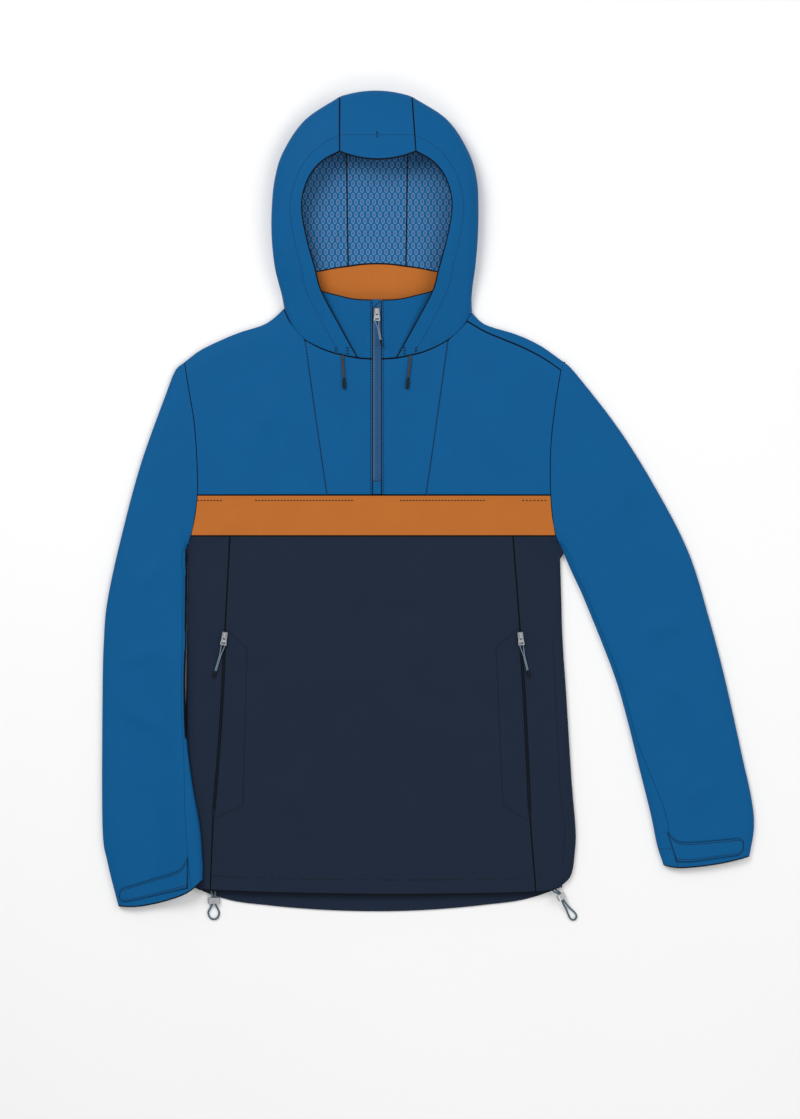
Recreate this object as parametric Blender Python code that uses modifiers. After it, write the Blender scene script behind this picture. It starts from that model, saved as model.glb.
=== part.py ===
"""Hooded half-zip anorak, laid flat and face up.

X runs to the wearer's left, Y from the hem to the hood, Z up from the surface it lies on.
The origin is on the underside of the back, on the centre line at underarm level.
Lengths are in millimetres until a mesh is made. R and L are the wearer's right and left.
"""

import math

import bmesh
import bpy
import numpy as np
from mathutils import Matrix, Vector
from mathutils.bvhtree import BVHTree

MM = 0.001

# Cloth walls
WALL = 1.5  # shell cloth with its turned edges
LINING_WALL = 1.0
TAPE_WALL = 1.0
HALF_GAP = 0.15  # half of the gap between two pieces at a seam
UNDERLAY = 0.8  # clearance of a piece that lies under another
OVERLAY = 0.7  # clearance of a piece that lies on another
TAB_CLEARANCE = 0.6  # clearance of a cuff tab, which bends over the sleeve's seam

# Flat-laid form: each side folds over at EDGE and comes level ROLL further in
EDGE = 4.0
LOFT = 7.0
ROLL = 20.0
UNDER = 6.0  # the underside touches down this far in from a side fold

# Rise of the right sleeve over the body's edge: over this width across and length down
LIFT_HEIGHT = EDGE + LOFT + 2.2
LIFT_BEFORE = 46.0
LIFT_AFTER = 24.0
LIFT_START_Y = -60.0
LIFT_FULL_Y = -215.0

# Main levels
CHEST_Y = 67.5  # yoke to band
BAND_Y = 12.2  # band to lower front, and back yoke to lower back
ZIP_HALF = 6.8  # half of the opening that shows the zip
TAPE_HALF = 10.5
COIL_HALF = 3.0
NAPE_Y = 300.0
NECK_Y = 251.2  # neck seam at the centre front

# Side folds as plan curves, columns x, y
SHOULDER_R = [(-260.6, 247.1), (-239.0, 263.2), (-212.0, 276.5), (-185.0, 287.6), (-155.2, 297.0),
              (-139.0, 307.0), (-125.6, 320.0)]
SHOULDER_L = [(251.1, 248.4), (220.1, 270.0), (187.7, 284.9), (152.6, 295.5), (139.0, 303.0),
              (128.2, 314.6)]
SIDE_R = [(-256.5, 0.0), (-256.6, -60.0), (-257.2, -128.2), (-258.5, -209.2), (-263.2, -317.2),
          (-268.2, -384.8), (-267.3, -411.8), (-262.5, -445.0), (-247.1, -463.1)]
SIDE_L = [(247.1, 0.0), (249.0, -60.0), (251.1, -128.2), (256.5, -209.2), (263.2, -317.2),
          (268.7, -384.8), (267.8, -415.0), (262.5, -447.0), (247.1, -463.1)]
SLEEVE_OUT_R = [(-260.6, 247.1), (-272.7, 236.3), (-286.2, 202.5), (-320.0, 108.0), (-347.0, 6.8),
                (-364.5, -74.2), (-369.5, -128.2), (-371.4, -209.2), (-371.4, -379.4),
                (-364.5, -429.3), (-349.7, -488.7)]
SLEEVE_IN_R = [(-256.8, 0.0), (-257.5, -60.0), (-258.1, -128.2), (-258.9, -195.0), (-256.5, -263.2),
               (-248.4, -325.4), (-239.0, -378.0), (-235.4, -423.9), (-234.9, -452.3)]
SLEEVE_OUT_L = [(251.1, 248.4), (267.3, 233.6), (328.1, 155.2), (382.1, 67.5), (422.6, -13.5),
                (449.6, -101.2), (470.8, -182.2), (494.8, -290.0), (506.6, -344.2), (509.8, -382.1),
                (503.6, -421.2)]
SLEEVE_IN_L = [(247.6, 0.0), (263.5, -37.0), (280.5, -74.2), (317.2, -166.1), (334.8, -222.8),
               (355.1, -303.8), (370.2, -364.5), (378.5, -405.0), (387.5, -433.4)]

# Seams as plan curves, columns x, y
ARMHOLE_R = [(-260.6, 247.1), (-253.5, 203.0), (-247.1, 163.4), (-243.5, 112.1), (-243.0, 67.5),
             (-246.2, 40.0), (-251.9, 12.2), (-256.5, 0.0)]
ARMHOLE_L = [(251.1, 248.4), (245.8, 218.0), (240.0, 180.0), (234.9, 128.2), (234.9, 66.2),
             (237.2, 40.0), (241.9, 12.2), (247.1, 0.0)]
NECK_R = [(-25.7, 252.5), (-62.0, 260.5), (-97.2, 276.8), (-115.5, 297.5), (-125.6, 320.0)]
NECK_L = [(25.7, 252.5), (62.0, 260.5), (95.9, 276.8), (117.0, 296.0), (128.2, 314.6)]
YOKE_SEAM_R = [(-97.2, 276.8), (-82.6, 172.0), (-67.5, CHEST_Y)]
YOKE_SEAM_L = [(95.9, 276.8), (81.2, 172.0), (66.2, CHEST_Y)]
LOWER_SEAM_R = [(-198.5, BAND_Y), (-205.2, -114.8), (-209.2, -209.2), (-215.5, -300.0),
                (-221.4, -371.2), (-225.5, -467.0)]
LOWER_SEAM_L = [(183.6, BAND_Y), (193.1, -114.8), (199.0, -209.2), (203.5, -300.0),
                (207.0, -371.2), (214.7, -469.5)]
HEM = [(-247.1, -463.1), (-225.5, -467.0), (-110.0, -471.0), (0.0, -472.5), (110.0, -472.0),
       (214.7, -469.5), (247.1, -463.1)]
TAIL = [(-247.1, -463.1), (-205.2, -479.3), (-104.0, -491.5), (0.0, -495.5), (98.6, -491.5),
        (206.6, -478.2), (247.1, -463.1)]
CUFF_R = [(-349.7, -488.7), (-320.0, -488.5), (-285.0, -480.5), (-254.5, -468.5), (-234.9, -452.3)]
CUFF_L = [(503.6, -421.2), (470.0, -429.5), (436.1, -434.7), (406.0, -436.5), (387.5, -433.4)]
FORWARD_SEAM = [(216.0, 257.5), (183.0, 272.5), (141.0, 290.5)]  # between its two end stations
SEAT_X = 39.0  # the hood's side and centre panels meet here on the back neck
SEAT_Y = 301.0
BACK_NECK = [(-125.6, 320.0), (-98.0, 309.5), (-70.0, 304.0), (-SEAT_X, SEAT_Y), (0.0, NAPE_Y),
             (SEAT_X, SEAT_Y), (70.0, 304.0), (99.0, 308.5), (128.2, 314.6)]

# Station distances along the curves
ARMHOLE_STEPS = (0.0, 4.0, 13.0, 26.0, 45.0, 75.0, 105.0, 135.0, 160.0)
YOKE_END = len(ARMHOLE_STEPS)  # armhole station at the bottom of the yoke
BAND_END = YOKE_END + 2
FORWARD_STEP = 2  # the left shoulder seam meets the armhole and the neck at this station
BACK_ARMHOLE_STEPS = (0.0, 2.0, 8.0, 26.0, 45.0, 75.0, 105.0, 135.0)
SLEEVE_CORNERS = {"R": 8, "L": 12}  # armhole station where the sleeve's inner side starts
SLEEVE_SETTLE = 0.2  # share of the sleeve over which its columns take their even spacing
NECK_STEPS = (0.0, 5.0, 14.0)
NECK_CORNER = len(NECK_STEPS)  # neck station at the princess seam
BACK_NECK_STEPS = (0.0, 2.0, 8.0, 45.0)
NOTCH = 5.0  # the under sleeve turns up this far over the fold at the underarm
CUFF_TURN = 19.5  # and this far at the cuff
UNDERARM_STEP = 8.0
LOWER_STATIONS = (BAND_Y, 2.0, -40.0, -80.0, -112.0, -127.0, -190.0, -250.0, -310.0, -357.0,
                  -372.0, -420.0)

# Hood, section by section from the neck seam to the brim corner. The face edge and the side
# fold have heights; the seat is where the section reaches the seam of the centre panel.
# Columns: face_x, face_y, face_z, fold_x, fold_y, fold_z, seat_x, seat_y
HOOD_R = [
    (-25.7, 252.5, 11.0, -125.6, 320.0, 4.0, -39.0, 301.0),
    (-50.5, 297.0, 18.0, -128.5, 337.0, 9.0, -39.0, 320.0),
    (-74.2, 341.6, 25.0, -133.5, 356.0, 14.0, -39.0, 347.0),
    (-82.4, 371.2, 30.0, -138.0, 376.0, 17.0, -39.0, 377.0),
    (-93.0, 410.0, 34.0, -141.8, 412.0, 19.0, -39.5, 408.0),
    (-99.9, 445.5, 37.0, -141.9, 452.0, 20.0, -40.0, 444.0),
    (-98.5, 471.0, 39.0, -137.7, 492.8, 21.0, -40.5, 482.0),
    (-88.5, 496.0, 41.0, -126.0, 530.0, 22.0, -41.0, 512.0),
    (-72.0, 514.5, 43.0, -97.0, 572.0, 23.0, -42.0, 537.0),
    (-50.0, 526.5, 45.0, -50.0, 603.5, 24.0, -43.0, 557.0),
]
HOOD_L = [
    (25.7, 252.5, 11.0, 128.2, 314.6, 4.0, 39.0, 301.0),
    (50.5, 297.0, 18.0, 127.8, 334.0, 9.0, 39.0, 320.0),
    (74.2, 341.6, 25.0, 129.8, 355.0, 14.0, 39.0, 347.0),
    (82.4, 371.2, 30.0, 132.8, 376.0, 17.0, 39.0, 377.0),
    (93.0, 410.0, 34.0, 135.8, 412.0, 19.0, 39.5, 408.0),
    (99.9, 445.5, 37.0, 136.8, 452.0, 20.0, 40.0, 444.0),
    (98.8, 471.0, 39.0, 134.5, 493.0, 21.0, 40.5, 482.0),
    (89.5, 496.0, 41.0, 122.0, 532.0, 22.0, 41.0, 512.0),
    (73.5, 514.5, 43.0, 94.0, 573.0, 23.0, 42.0, 537.0),
    (52.7, 526.5, 45.0, 47.2, 603.5, 24.0, 43.0, 557.0),
]
HOOD_ROWS = 12
FOLD_STATIONS = 7  # from the face edge to the side fold, shared with the neck seam
UNDER_STATIONS = 3
NECK_BLEND = 2.5  # sections over which the hood takes the shape of the neck seam
BRIM_DIP = -10.8
CROWN_RISE = 8.1
BRIM_LIFT = 2.0
LINING_SECTION = 3.0  # the lining starts at this section of the hood
UNDER_ROLL_SHARE = 0.8  # growth of the hood's under roll with the height of its fold
CENTRE_INTERVALS = 4
FACING_RISE = 3.5
FACING_HALF = 95.0
HOOD_HEART = (0.0, 450.0, 20.0)  # a point inside the hood

# Body sampling
SHOULDER_INTERVALS = 5
YOKE_INTERVALS = 6
SLEEVE_INTERVALS = 14
CENTRE_SHARES = np.linspace(0.0, 1.0, 9)  # across the lower front between the pocket seams
SIDE_TOP_SHARES = (0.0, 0.07, 0.24, 0.6, 1.0)  # across the lower side from its fold, top and hem
SIDE_HEM_SHARES = (0.0, 0.08, 0.3, 0.65, 1.0)
FLANK_LEVELS = (-50.0, -100.0, -150.0, -205.0, -260.0, -315.0, -365.0, -405.0, -440.0)

# Pocket openings in the lower seams
SLOT_TOP = -112.0
SLOT_BOTTOM = -372.0
SLOT_EASE = 15.0
SLOT_HALF = 1.2
POCKET_COIL_RISE = 1.5
BAG_DEPTH = 30.0

# Collar fronts, columns x, y, from the zip edge outward on the right side
COLLAR_TOP = [(-6.8, 331.0), (-29.7, 332.1), (-74.2, 342.9), (-92.0, 349.5)]
COLLAR_LOW = [(-6.8, 251.2), (-12.0, 251.5), (-25.7, 252.7), (-33.0, 254.3), (-39.0, 255.6),
              (-45.0, 257.2)]
COLLAR_STATIONS_TOP = (0.0, 6.0, 26.0, 48.0, 67.0, 86.0)
COLLAR_RISE = 9.0
COLLAR_DROP = 2.6
COLLAR_DROP_FROM = 13.0  # distance from the centre line where the drop starts
COLLAR_DROP_OVER = 11.0
COLLAR_SAG = 4.0  # further drop of its top at this distance from the centre line
COLLAR_SAG_AT = 90.0

# Front zip
ZIP_LEVELS = (69.0, 86.0, 130.0, 170.0, 210.0, NECK_Y, 290.0, 329.5)
COIL_RISE = 1.6
END_TAB = [(-5.9, 68.4), (5.9, 68.4), (-5.9, 86.4), (5.9, 86.4)]
GARAGE = [(-6.3, 320.4), (-5.3, 320.4), (-6.3, 331.0), (6.8, 331.0)]

# Zip hardware, in a frame on the pull's axis: X along it, Y up the zip, Z off the cloth
SLIDER_BLOCK = (3.75, -4.9, 4.6, -4.0, -1.6)  # half width, low and high y, bottom and top z
ARCH_HALF = 1.2
ARCH_OUTER = 3.4
ARCH_INNER = 2.2
ARCH_CLEAR = 1.0
ARCH_TOP = 2.2
PULL_HALF = 0.5
PULL_OUTLINE = [(-2.6, 0.6), (2.6, 0.6), (2.95, 0.2), (4.2, -12.6), (3.6, -13.2), (-3.6, -13.2),
                (-4.2, -12.6), (-2.95, 0.2)]
# Openings of the pull: half width, half height, corner radius, centre
PULL_EYE = (1.8, 2.5, 0.3, (0.0, -3.1))
PULL_LOOP_SLOT = (2.6, 1.1, 0.3, (0.0, -10.7))
PULLER_RADIUS = 0.6
PULLER_ROOT_Y = -13.8  # where the cord's two strands leave the pull
PULLER_SHARES = (1.0, 0.8, 0.6, 0.42, 0.28, 0.14, 0.0)  # stations from the moulded end to the root
PULLER_OPEN = 0.42  # share of the way over which the strands open to pass the pull
PULLER_TOUCH = 0.78  # half of the distance between the strands where they run together
PULLER_SPREAD = 2.2
PULLER_RISE = 1.7
PULLER_LOOP = [(-1.9, -12.4, 1.75), (-1.0, -10.9, 1.0), (-0.45, -10.6, 0.4), (0.45, -10.6, -0.4),
               (1.0, -10.9, -1.0), (1.9, -12.4, -1.7)]
PULLER_END = 9.0
PULLER_END_RADIUS = 1.5
FRONT_PULL = (0.0, 315.0)
FRONT_PULL_END = (6.8, -47.7, -2.2)
POCKET_PULL_Y = -122.0
POCKET_PULLS = {"R": (-8.0, (-7.0, -58.4, -2.4)), "L": (6.0, (5.9, -57.1, -2.4))}

# Cords: routes in the garment's frame, columns x, y, z
DRAWCORD_RADIUS = 1.6
TIP_RADIUS = 2.1
DRAWCORDS = {
    "R": ([(-45.9, 256.0, 13.4), (-46.2, 250.0, 13.4), (-45.6, 241.0, 13.4), (-44.9, 232.0, 13.4),
           (-44.6, 225.3, 13.5)],
          [(-44.5, 224.9, 13.9), (-43.9, 210.6, 13.9)]),
    "L": ([(44.6, 256.0, 13.4), (44.9, 250.0, 13.4), (43.9, 241.0, 13.4), (42.6, 232.0, 13.4),
           (42.0, 225.3, 13.5)],
          [(41.9, 224.9, 13.9), (40.5, 210.6, 13.9)]),
}
HEM_CORD_RADIUS = 1.25
# Hem cords: route, stop's centre, heading and lean in degrees
HEM_CORDS = {
    "R": ([(-225.5, -461.0, 7.8), (-224.0, -468.0, 5.6), (-222.6, -474.5, 3.6), (-222.5, -478.0, 3.4),
           (-222.5, -482.0, 3.3), (-222.7, -485.8, 3.1), (-225.4, -491.0, 1.9), (-228.3, -496.5, 1.4),
           (-227.4, -501.8, 1.4), (-224.6, -505.3, 1.4), (-220.9, -506.4, 1.4), (-217.0, -505.4, 1.4),
           (-214.4, -501.8, 1.4), (-213.6, -496.5, 1.4), (-216.2, -491.0, 1.9), (-218.8, -485.8, 3.1),
           (-218.9, -482.0, 3.3), (-218.9, -478.0, 3.4), (-218.8, -474.5, 3.6), (-219.0, -468.0, 5.6),
           (-219.5, -461.0, 7.8)],
          (-220.7, -481.0, 3.3), 0.0, 0.0),
    "L": ([(233.2, -454.0, 4.2), (237.9, -461.4, 4.2), (242.7, -466.6, 5.5), (247.4, -470.0, 7.5),
           (249.4, -474.6, 7.5), (251.5, -479.2, 7.4), (255.9, -485.4, 4.8), (261.2, -491.4, 2.6),
           (265.7, -495.7, 1.6), (269.2, -499.9, 1.4), (269.8, -503.5, 1.4), (267.6, -506.6, 1.4),
           (264.0, -507.2, 1.4), (261.0, -504.7, 1.4), (258.3, -499.0, 1.6), (255.6, -492.4, 3.6),
           (252.4, -486.4, 7.2), (249.6, -480.0, 10.3), (247.6, -475.4, 10.5), (245.5, -470.9, 10.4),
           (240.0, -468.6, 7.9), (234.6, -464.4, 5.9), (229.0, -458.5, 5.6)],
          (248.5, -475.0, 9.0), 24.0, 55.0),
}
# Oval stops: half width, half height and corner radius of the outline and of the opening
STOP_OUTLINE = (8.5, 3.0, 2.9)
STOP_OPENING = (3.9, 1.75, 1.6)
STOP_HALF_LENGTH = 4.0

# Cuff tabs, set down on the finished sleeves: upper and lower edges from the seam to the rounded
# end, columns x, y
SEARCH = 10.0  # height over a panel from which what lies on it is set down
SAG = 1.5  # depth of the panel's flat facets under its true form, at most
CUFF_TABS = {
    "R": {"upper": [(-254.7, -420.5), (-262.0, -434.5), (-272.0, -441.0), (-300.0, -450.0),
                    (-330.0, -459.5), (-343.0, -463.4), (-346.6, -467.0)],
          "lower": [(-254.7, -462.0), (-270.0, -465.5), (-290.0, -470.6), (-310.0, -475.5),
                    (-330.0, -480.0), (-343.5, -481.4), (-348.2, -476.0)]},
    "L": {"upper": [(391.5, -386.5), (400.0, -396.0), (412.0, -401.4), (436.0, -400.4),
                    (465.0, -398.0), (487.4, -396.2), (494.5, -399.5)],
          "lower": [(404.5, -427.5), (420.0, -428.0), (436.0, -426.4), (455.0, -423.6),
                    (475.0, -420.8), (489.0, -418.3), (494.8, -411.0)]},
}

# Soft folds in the front, columns x, y, angle in degrees, length, width, height
FOLDS = [
    (-150.0, 170.0, 62.0, 150.0, 17.0, 3.0),
    (150.0, 150.0, 118.0, 150.0, 17.0, 3.0),
    (-215.0, 20.0, 25.0, 130.0, 15.0, 3.2),
    (215.0, 12.0, 152.0, 140.0, 15.0, 3.4),
    (-60.0, -180.0, 12.0, 190.0, 22.0, 2.6),
    (90.0, -250.0, 166.0, 210.0, 24.0, 2.6),
    (-120.0, -340.0, 158.0, 170.0, 20.0, 2.4),
    (30.0, -90.0, 8.0, 200.0, 20.0, -2.2),
    (-305.0, -40.0, 55.0, 90.0, 12.0, 3.2),
    (-318.0, -150.0, 20.0, 85.0, 12.0, 3.4),
    (-315.0, -235.0, 155.0, 85.0, 11.0, 3.0),
    (330.0, 60.0, 70.0, 110.0, 13.0, 3.0),
    (385.0, -110.0, 15.0, 100.0, 13.0, 3.6),
    (405.0, -200.0, 150.0, 95.0, 12.0, 3.2),
    (440.0, -330.0, 20.0, 90.0, 12.0, 2.6),
]

CLOTH_COLOURS = {
    "blue": (0.010, 0.102, 0.279),
    "orange": (0.503, 0.150, 0.028),
    "navy": (0.016, 0.026, 0.050),
    "mesh": (0.060, 0.160, 0.360),
    "trim": (0.030, 0.034, 0.040),
    "tape": (0.012, 0.070, 0.180),
    "metal": (0.560, 0.570, 0.590),
}


# ---------------------------------------------------------------- plan curves

def arc_lengths(points):
    """Running length along a polyline."""
    steps = np.linalg.norm(np.diff(points, axis=0), axis=1)
    return np.concatenate([[0.0], np.cumsum(steps)])


def catmull_rom(points, positions):
    """Values of a Catmull-Rom curve through rows of points at fractional row positions."""
    rows = np.asarray(points, dtype=float)
    padded = np.vstack([2 * rows[0] - rows[1], rows, 2 * rows[-1] - rows[-2]])
    positions = np.clip(np.asarray(positions, dtype=float), 0.0, len(rows) - 1.0)
    index = np.minimum(positions.astype(int), len(rows) - 2)
    t = (positions - index)[:, None]
    before, start, end, after = (padded[index + k] for k in range(4))
    return 0.5 * (2 * start + (end - before) * t
                  + (2 * before - 5 * start + 4 * end - after) * t ** 2
                  + (3 * start - before - 3 * end + after) * t ** 3)


def fine(points, per_span=12):
    """Dense polyline along the smooth curve through points."""
    count = (len(points) - 1) * per_span + 1
    return catmull_rom(points, np.linspace(0.0, len(points) - 1.0, count))


def at_lengths(curve, lengths):
    """Points of a dense polyline at given lengths from its start."""
    along = arc_lengths(curve)
    return np.stack([np.interp(lengths, along, curve[:, k]) for k in range(curve.shape[1])], axis=1)


def evenly(curve, intervals):
    """Dense polyline resampled to equal intervals."""
    return at_lengths(curve, np.linspace(0.0, arc_lengths(curve)[-1], intervals + 1))


def length_at_y(curve, y):
    """Length along a dense polyline where it passes a level, on a curve that falls in y."""
    along = arc_lengths(curve)
    return float(np.interp(-y, -curve[:, 1], along))


def join(*parts):
    """Polylines end to end, shared points once."""
    points = [parts[0]]
    for part in parts[1:]:
        points.append(part[1:])
    return np.vstack(points)


def fractions(line):
    along = arc_lengths(line)
    return along / along[-1]


def coons(bottom, top, left, right, settle=1.0):
    """Plan grid, rows bottom to top and columns left to right, between four sampled sides.

    The columns change from the bottom's spacing to the top's within the share settle.
    """
    u_low, u_high = fractions(bottom), fractions(top)
    v_left, v_right = fractions(left), fractions(right)
    rows, columns = len(left), len(bottom)
    grid = np.zeros((rows, columns, 2))
    for i in range(rows):
        for j in range(columns):
            v = v_left[i] + (v_right[i] - v_left[i]) * j / (columns - 1)
            u = u_low[j] + (u_high[j] - u_low[j]) * min(v / settle, 1.0)
            ruled = (1 - v) * bottom[j] + v * top[j] + (1 - u) * left[i] + u * right[i]
            corners = ((1 - v) * ((1 - u) * bottom[0] + u * bottom[-1])
                       + v * ((1 - u) * top[0] + u * top[-1]))
            grid[i, j] = ruled - corners
    return grid


# ------------------------------------------------------------- height functions

class Outline:
    """Side folds of one region: distance to the nearest, and the direction away from it."""

    def __init__(self, *curves):
        starts, ends = [], []
        for curve in curves:
            starts.append(curve[:-1])
            ends.append(curve[1:])
        self.start = np.vstack(starts)
        self.vector = np.vstack(ends) - self.start

    def measure(self, plan, heart):
        """Distance and unit direction into the cloth; heart is a plan point well inside."""
        flat = plan.reshape(-1, 2)
        offset = flat[:, None, :] - self.start[None]
        length_squared = np.sum(self.vector ** 2, axis=1)
        t = np.clip(np.sum(offset * self.vector, axis=2) / length_squared, 0.0, 1.0)
        nearest = self.start + t[:, :, None] * self.vector
        gap = flat[:, None, :] - nearest
        distance = np.linalg.norm(gap, axis=2)
        pick = np.argmin(distance, axis=1)
        row = np.arange(len(flat))
        normal = np.stack([-self.vector[pick, 1], self.vector[pick, 0]], axis=1)
        normal /= np.linalg.norm(normal, axis=1, keepdims=True)
        toward = np.asarray(heart, dtype=float) - flat
        normal *= np.where(np.sum(normal * toward, axis=1, keepdims=True) < 0, -1.0, 1.0)
        away = gap[row, pick]
        size = distance[row, pick]
        direction = np.where(size[:, None] > 0.05, away / np.maximum(size, 1e-9)[:, None], normal)
        return size.reshape(plan.shape[:-1]), direction.reshape(plan.shape)


def smoothstep(value):
    value = np.clip(value, 0.0, 1.0)
    return value * value * (3.0 - 2.0 * value)


def folds_height(plan):
    """Sum of the soft folds: a bell across each, fading to its ends."""
    height = np.zeros(plan.shape[:-1])
    for x, y, angle, length, width, rise in FOLDS:
        turn = math.radians(angle)
        along = (plan[..., 0] - x) * math.cos(turn) + (plan[..., 1] - y) * math.sin(turn)
        across = (plan[..., 1] - y) * math.cos(turn) - (plan[..., 0] - x) * math.sin(turn)
        fade = smoothstep(1.0 - np.abs(along) / (0.5 * length))
        height += rise * fade * np.exp(-(across / width) ** 2)
    return height


def no_lift(plan):
    return np.zeros(plan.shape[:-1])


def sleeve_lift(plan):
    """Rise of the right sleeve where it climbs over the body's side."""
    table = np.array(SIDE_R[:7])
    side_x = np.interp(-plan[..., 1], -table[:, 1], table[:, 0])
    across = (plan[..., 0] - side_x + LIFT_BEFORE) / (LIFT_BEFORE + LIFT_AFTER)
    along = (LIFT_START_Y - plan[..., 1]) / (LIFT_START_Y - LIFT_FULL_Y)
    return LIFT_HEIGHT * smoothstep(across) * smoothstep(along)


class Region:
    """Cloth laid flat inside an outline, with its top and its underside as height functions."""

    def __init__(self, outline, heart, lift=no_lift):
        self.outline = outline
        self.heart = heart
        self.lift = lift

    def relief(self, plan):
        distance, _ = self.outline.measure(plan, self.heart)
        return self.lift(plan) + folds_height(plan) * smoothstep(distance / ROLL - 0.15)

    def slope(self, function, plan, step=0.5):
        dx, dy = np.array([step, 0.0]), np.array([0.0, step])
        return np.stack([(function(plan + dx) - function(plan - dx)) / (2 * step),
                         (function(plan + dy) - function(plan - dy)) / (2 * step)], axis=-1)

    def top(self, plan):
        """Points and outward normals of the upper side."""
        distance, inward = self.outline.measure(plan, self.heart)
        t = np.minimum(distance / ROLL, 1.0)
        rise = np.sqrt(np.maximum(1.0 - (1.0 - t) ** 2, 0.0))
        height = EDGE + LOFT * rise + self.relief(plan)
        flat = -inward * ((1.0 - t) / ROLL)[..., None]
        flat = flat - self.slope(self.relief, plan) * (rise / LOFT)[..., None]
        return sheet_from(plan, height, flat, rise / LOFT)

    def bottom(self, plan):
        """Points and outward normals of the underside."""
        distance, inward = self.outline.measure(plan, self.heart)
        t = np.minimum(distance / UNDER, 1.0)
        drop = np.sqrt(np.maximum(1.0 - (1.0 - t) ** 2, 0.0))
        height = EDGE * (1.0 - drop) + self.lift(plan)
        flat = -inward * ((1.0 - t) / UNDER)[..., None]
        flat = flat + self.slope(self.lift, plan) * (drop / EDGE)[..., None]
        return sheet_from(plan, height, flat, -drop / EDGE)


def sheet_from(plan, height, flat_normal, up_normal):
    points = np.concatenate([plan, height[..., None]], axis=-1)
    normals = np.concatenate([flat_normal, np.asarray(up_normal)[..., None]], axis=-1)
    normals /= np.linalg.norm(normals, axis=-1, keepdims=True)
    return points, normals


# ------------------------------------------------------------------ cloth walls

def trim(points, normals, edge, inner, amount=HALF_GAP):
    """Draw one edge of a sheet back from its seam, within the sheet."""
    line = points[edge].copy()
    tangent = np.gradient(line, axis=0)
    across = np.cross(normals[edge], tangent)
    across /= np.linalg.norm(across, axis=1, keepdims=True)
    side = np.sign(np.sum(across * (points[inner] - line)))
    points[edge] = line + across * side * np.reshape(amount, (-1, 1))


EVERY = slice(None)
SIDES = {
    "bottom": ((0, EVERY), (1, EVERY)),
    "top": ((-1, EVERY), (-2, EVERY)),
    "left": ((EVERY, 0), (EVERY, 1)),
    "right": ((EVERY, -1), (EVERY, -2)),
}


def trim_sides(points, normals, sides, amount=HALF_GAP):
    for side in sides:
        edge, inner = SIDES[side]
        trim(points, normals, edge, inner, amount)


def material_for(colour):
    name = "cloth_" + colour
    found = bpy.data.materials.get(name)
    if found:
        return found
    material = bpy.data.materials.new(name)
    material.use_nodes = True
    shader = material.node_tree.nodes["Principled BSDF"]
    shader.inputs["Base Color"].default_value = (*CLOTH_COLOURS[colour], 1.0)
    shader.inputs["Roughness"].default_value = 0.35 if colour == "metal" else 0.75
    shader.inputs["Metallic"].default_value = 1.0 if colour == "metal" else 0.0
    return material


def add_object(name, mesh_or_curve, colour, smooth=True):
    item = bpy.data.objects.new(name, mesh_or_curve)
    GARMENT.objects.link(item)
    mesh_or_curve.materials.append(material_for(colour))
    if smooth and isinstance(mesh_or_curve, bpy.types.Mesh):
        mesh_or_curve.shade_smooth()
        mesh_or_curve.set_sharp_from_angle(angle=math.radians(40))
    return item


def wall(name, colour, outer, inner, active=None):
    """Closed solid between two grids of points; active marks the grid's cells in use."""
    rows, columns = outer.shape[:2]
    if active is None:
        active = np.ones((rows - 1, columns - 1), dtype=bool)
    body = bmesh.new()
    skins = []
    for grid in (outer, inner):
        skins.append([[None] * columns for _ in range(rows)])
        for i in range(rows):
            for j in range(columns):
                cells = active[max(i - 1, 0):i + 1, max(j - 1, 0):j + 1]
                if cells.any():
                    skins[-1][i][j] = body.verts.new(grid[i, j] * MM)
    top, low = skins
    for i in range(rows - 1):
        for j in range(columns - 1):
            if not active[i, j]:
                continue
            corners = ((i, j), (i, j + 1), (i + 1, j + 1), (i + 1, j))
            body.faces.new([top[a][b] for a, b in corners])
            body.faces.new([low[a][b] for a, b in reversed(corners)])
    partner = {}
    for i in range(rows):
        for j in range(columns):
            if top[i][j]:
                partner[top[i][j]] = low[i][j]
    for edge in [e for e in body.edges if e.is_boundary and e.verts[0] in partner]:
        first, second = edge.verts
        body.faces.new([first, second, partner[second], partner[first]])
    bmesh.ops.recalc_face_normals(body, faces=body.faces)
    if body.calc_volume(signed=True) < 0:
        bmesh.ops.reverse_faces(body, faces=body.faces)
    mesh = bpy.data.meshes.new(name)
    body.to_mesh(mesh)
    body.free()
    return add_object(name, mesh, colour)


def cloth(name, colour, sheet, thickness=WALL, depth=0.0, active=None):
    """Cloth wall under a sheet, its outer side depth below the sheet."""
    points, normals = sheet
    return wall(name, colour, points - normals * depth, points - normals * (depth + thickness), active)


# ------------------------------------------------------ sampled seams and folds

def length_near(curve, point):
    """Length along a dense polyline to the point nearest to a given one."""
    nearest = np.argmin(np.linalg.norm(curve - np.asarray(point), axis=1))
    return arc_lengths(curve)[nearest]


def straight(start, end, shares):
    """Points between two plan points at given shares of the way."""
    start, end = np.asarray(start, dtype=float), np.asarray(end, dtype=float)
    return start + (end - start) * np.asarray(shares)[:, None]


def eased(width, intervals):
    """Shares of a width, close together where it folds over and again toward its end."""
    near = [ROLL * (1.0 - math.cos(math.radians(angle))) / width for angle in (0, 24, 46, 68, 90)]
    steps = np.linspace(0.0, 1.0, intervals - 3)
    rest = near[-1] + (1.0 - near[-1]) * (1.0 - (1.0 - steps) ** 1.5)
    return np.array(near[:-1] + list(rest))


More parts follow.
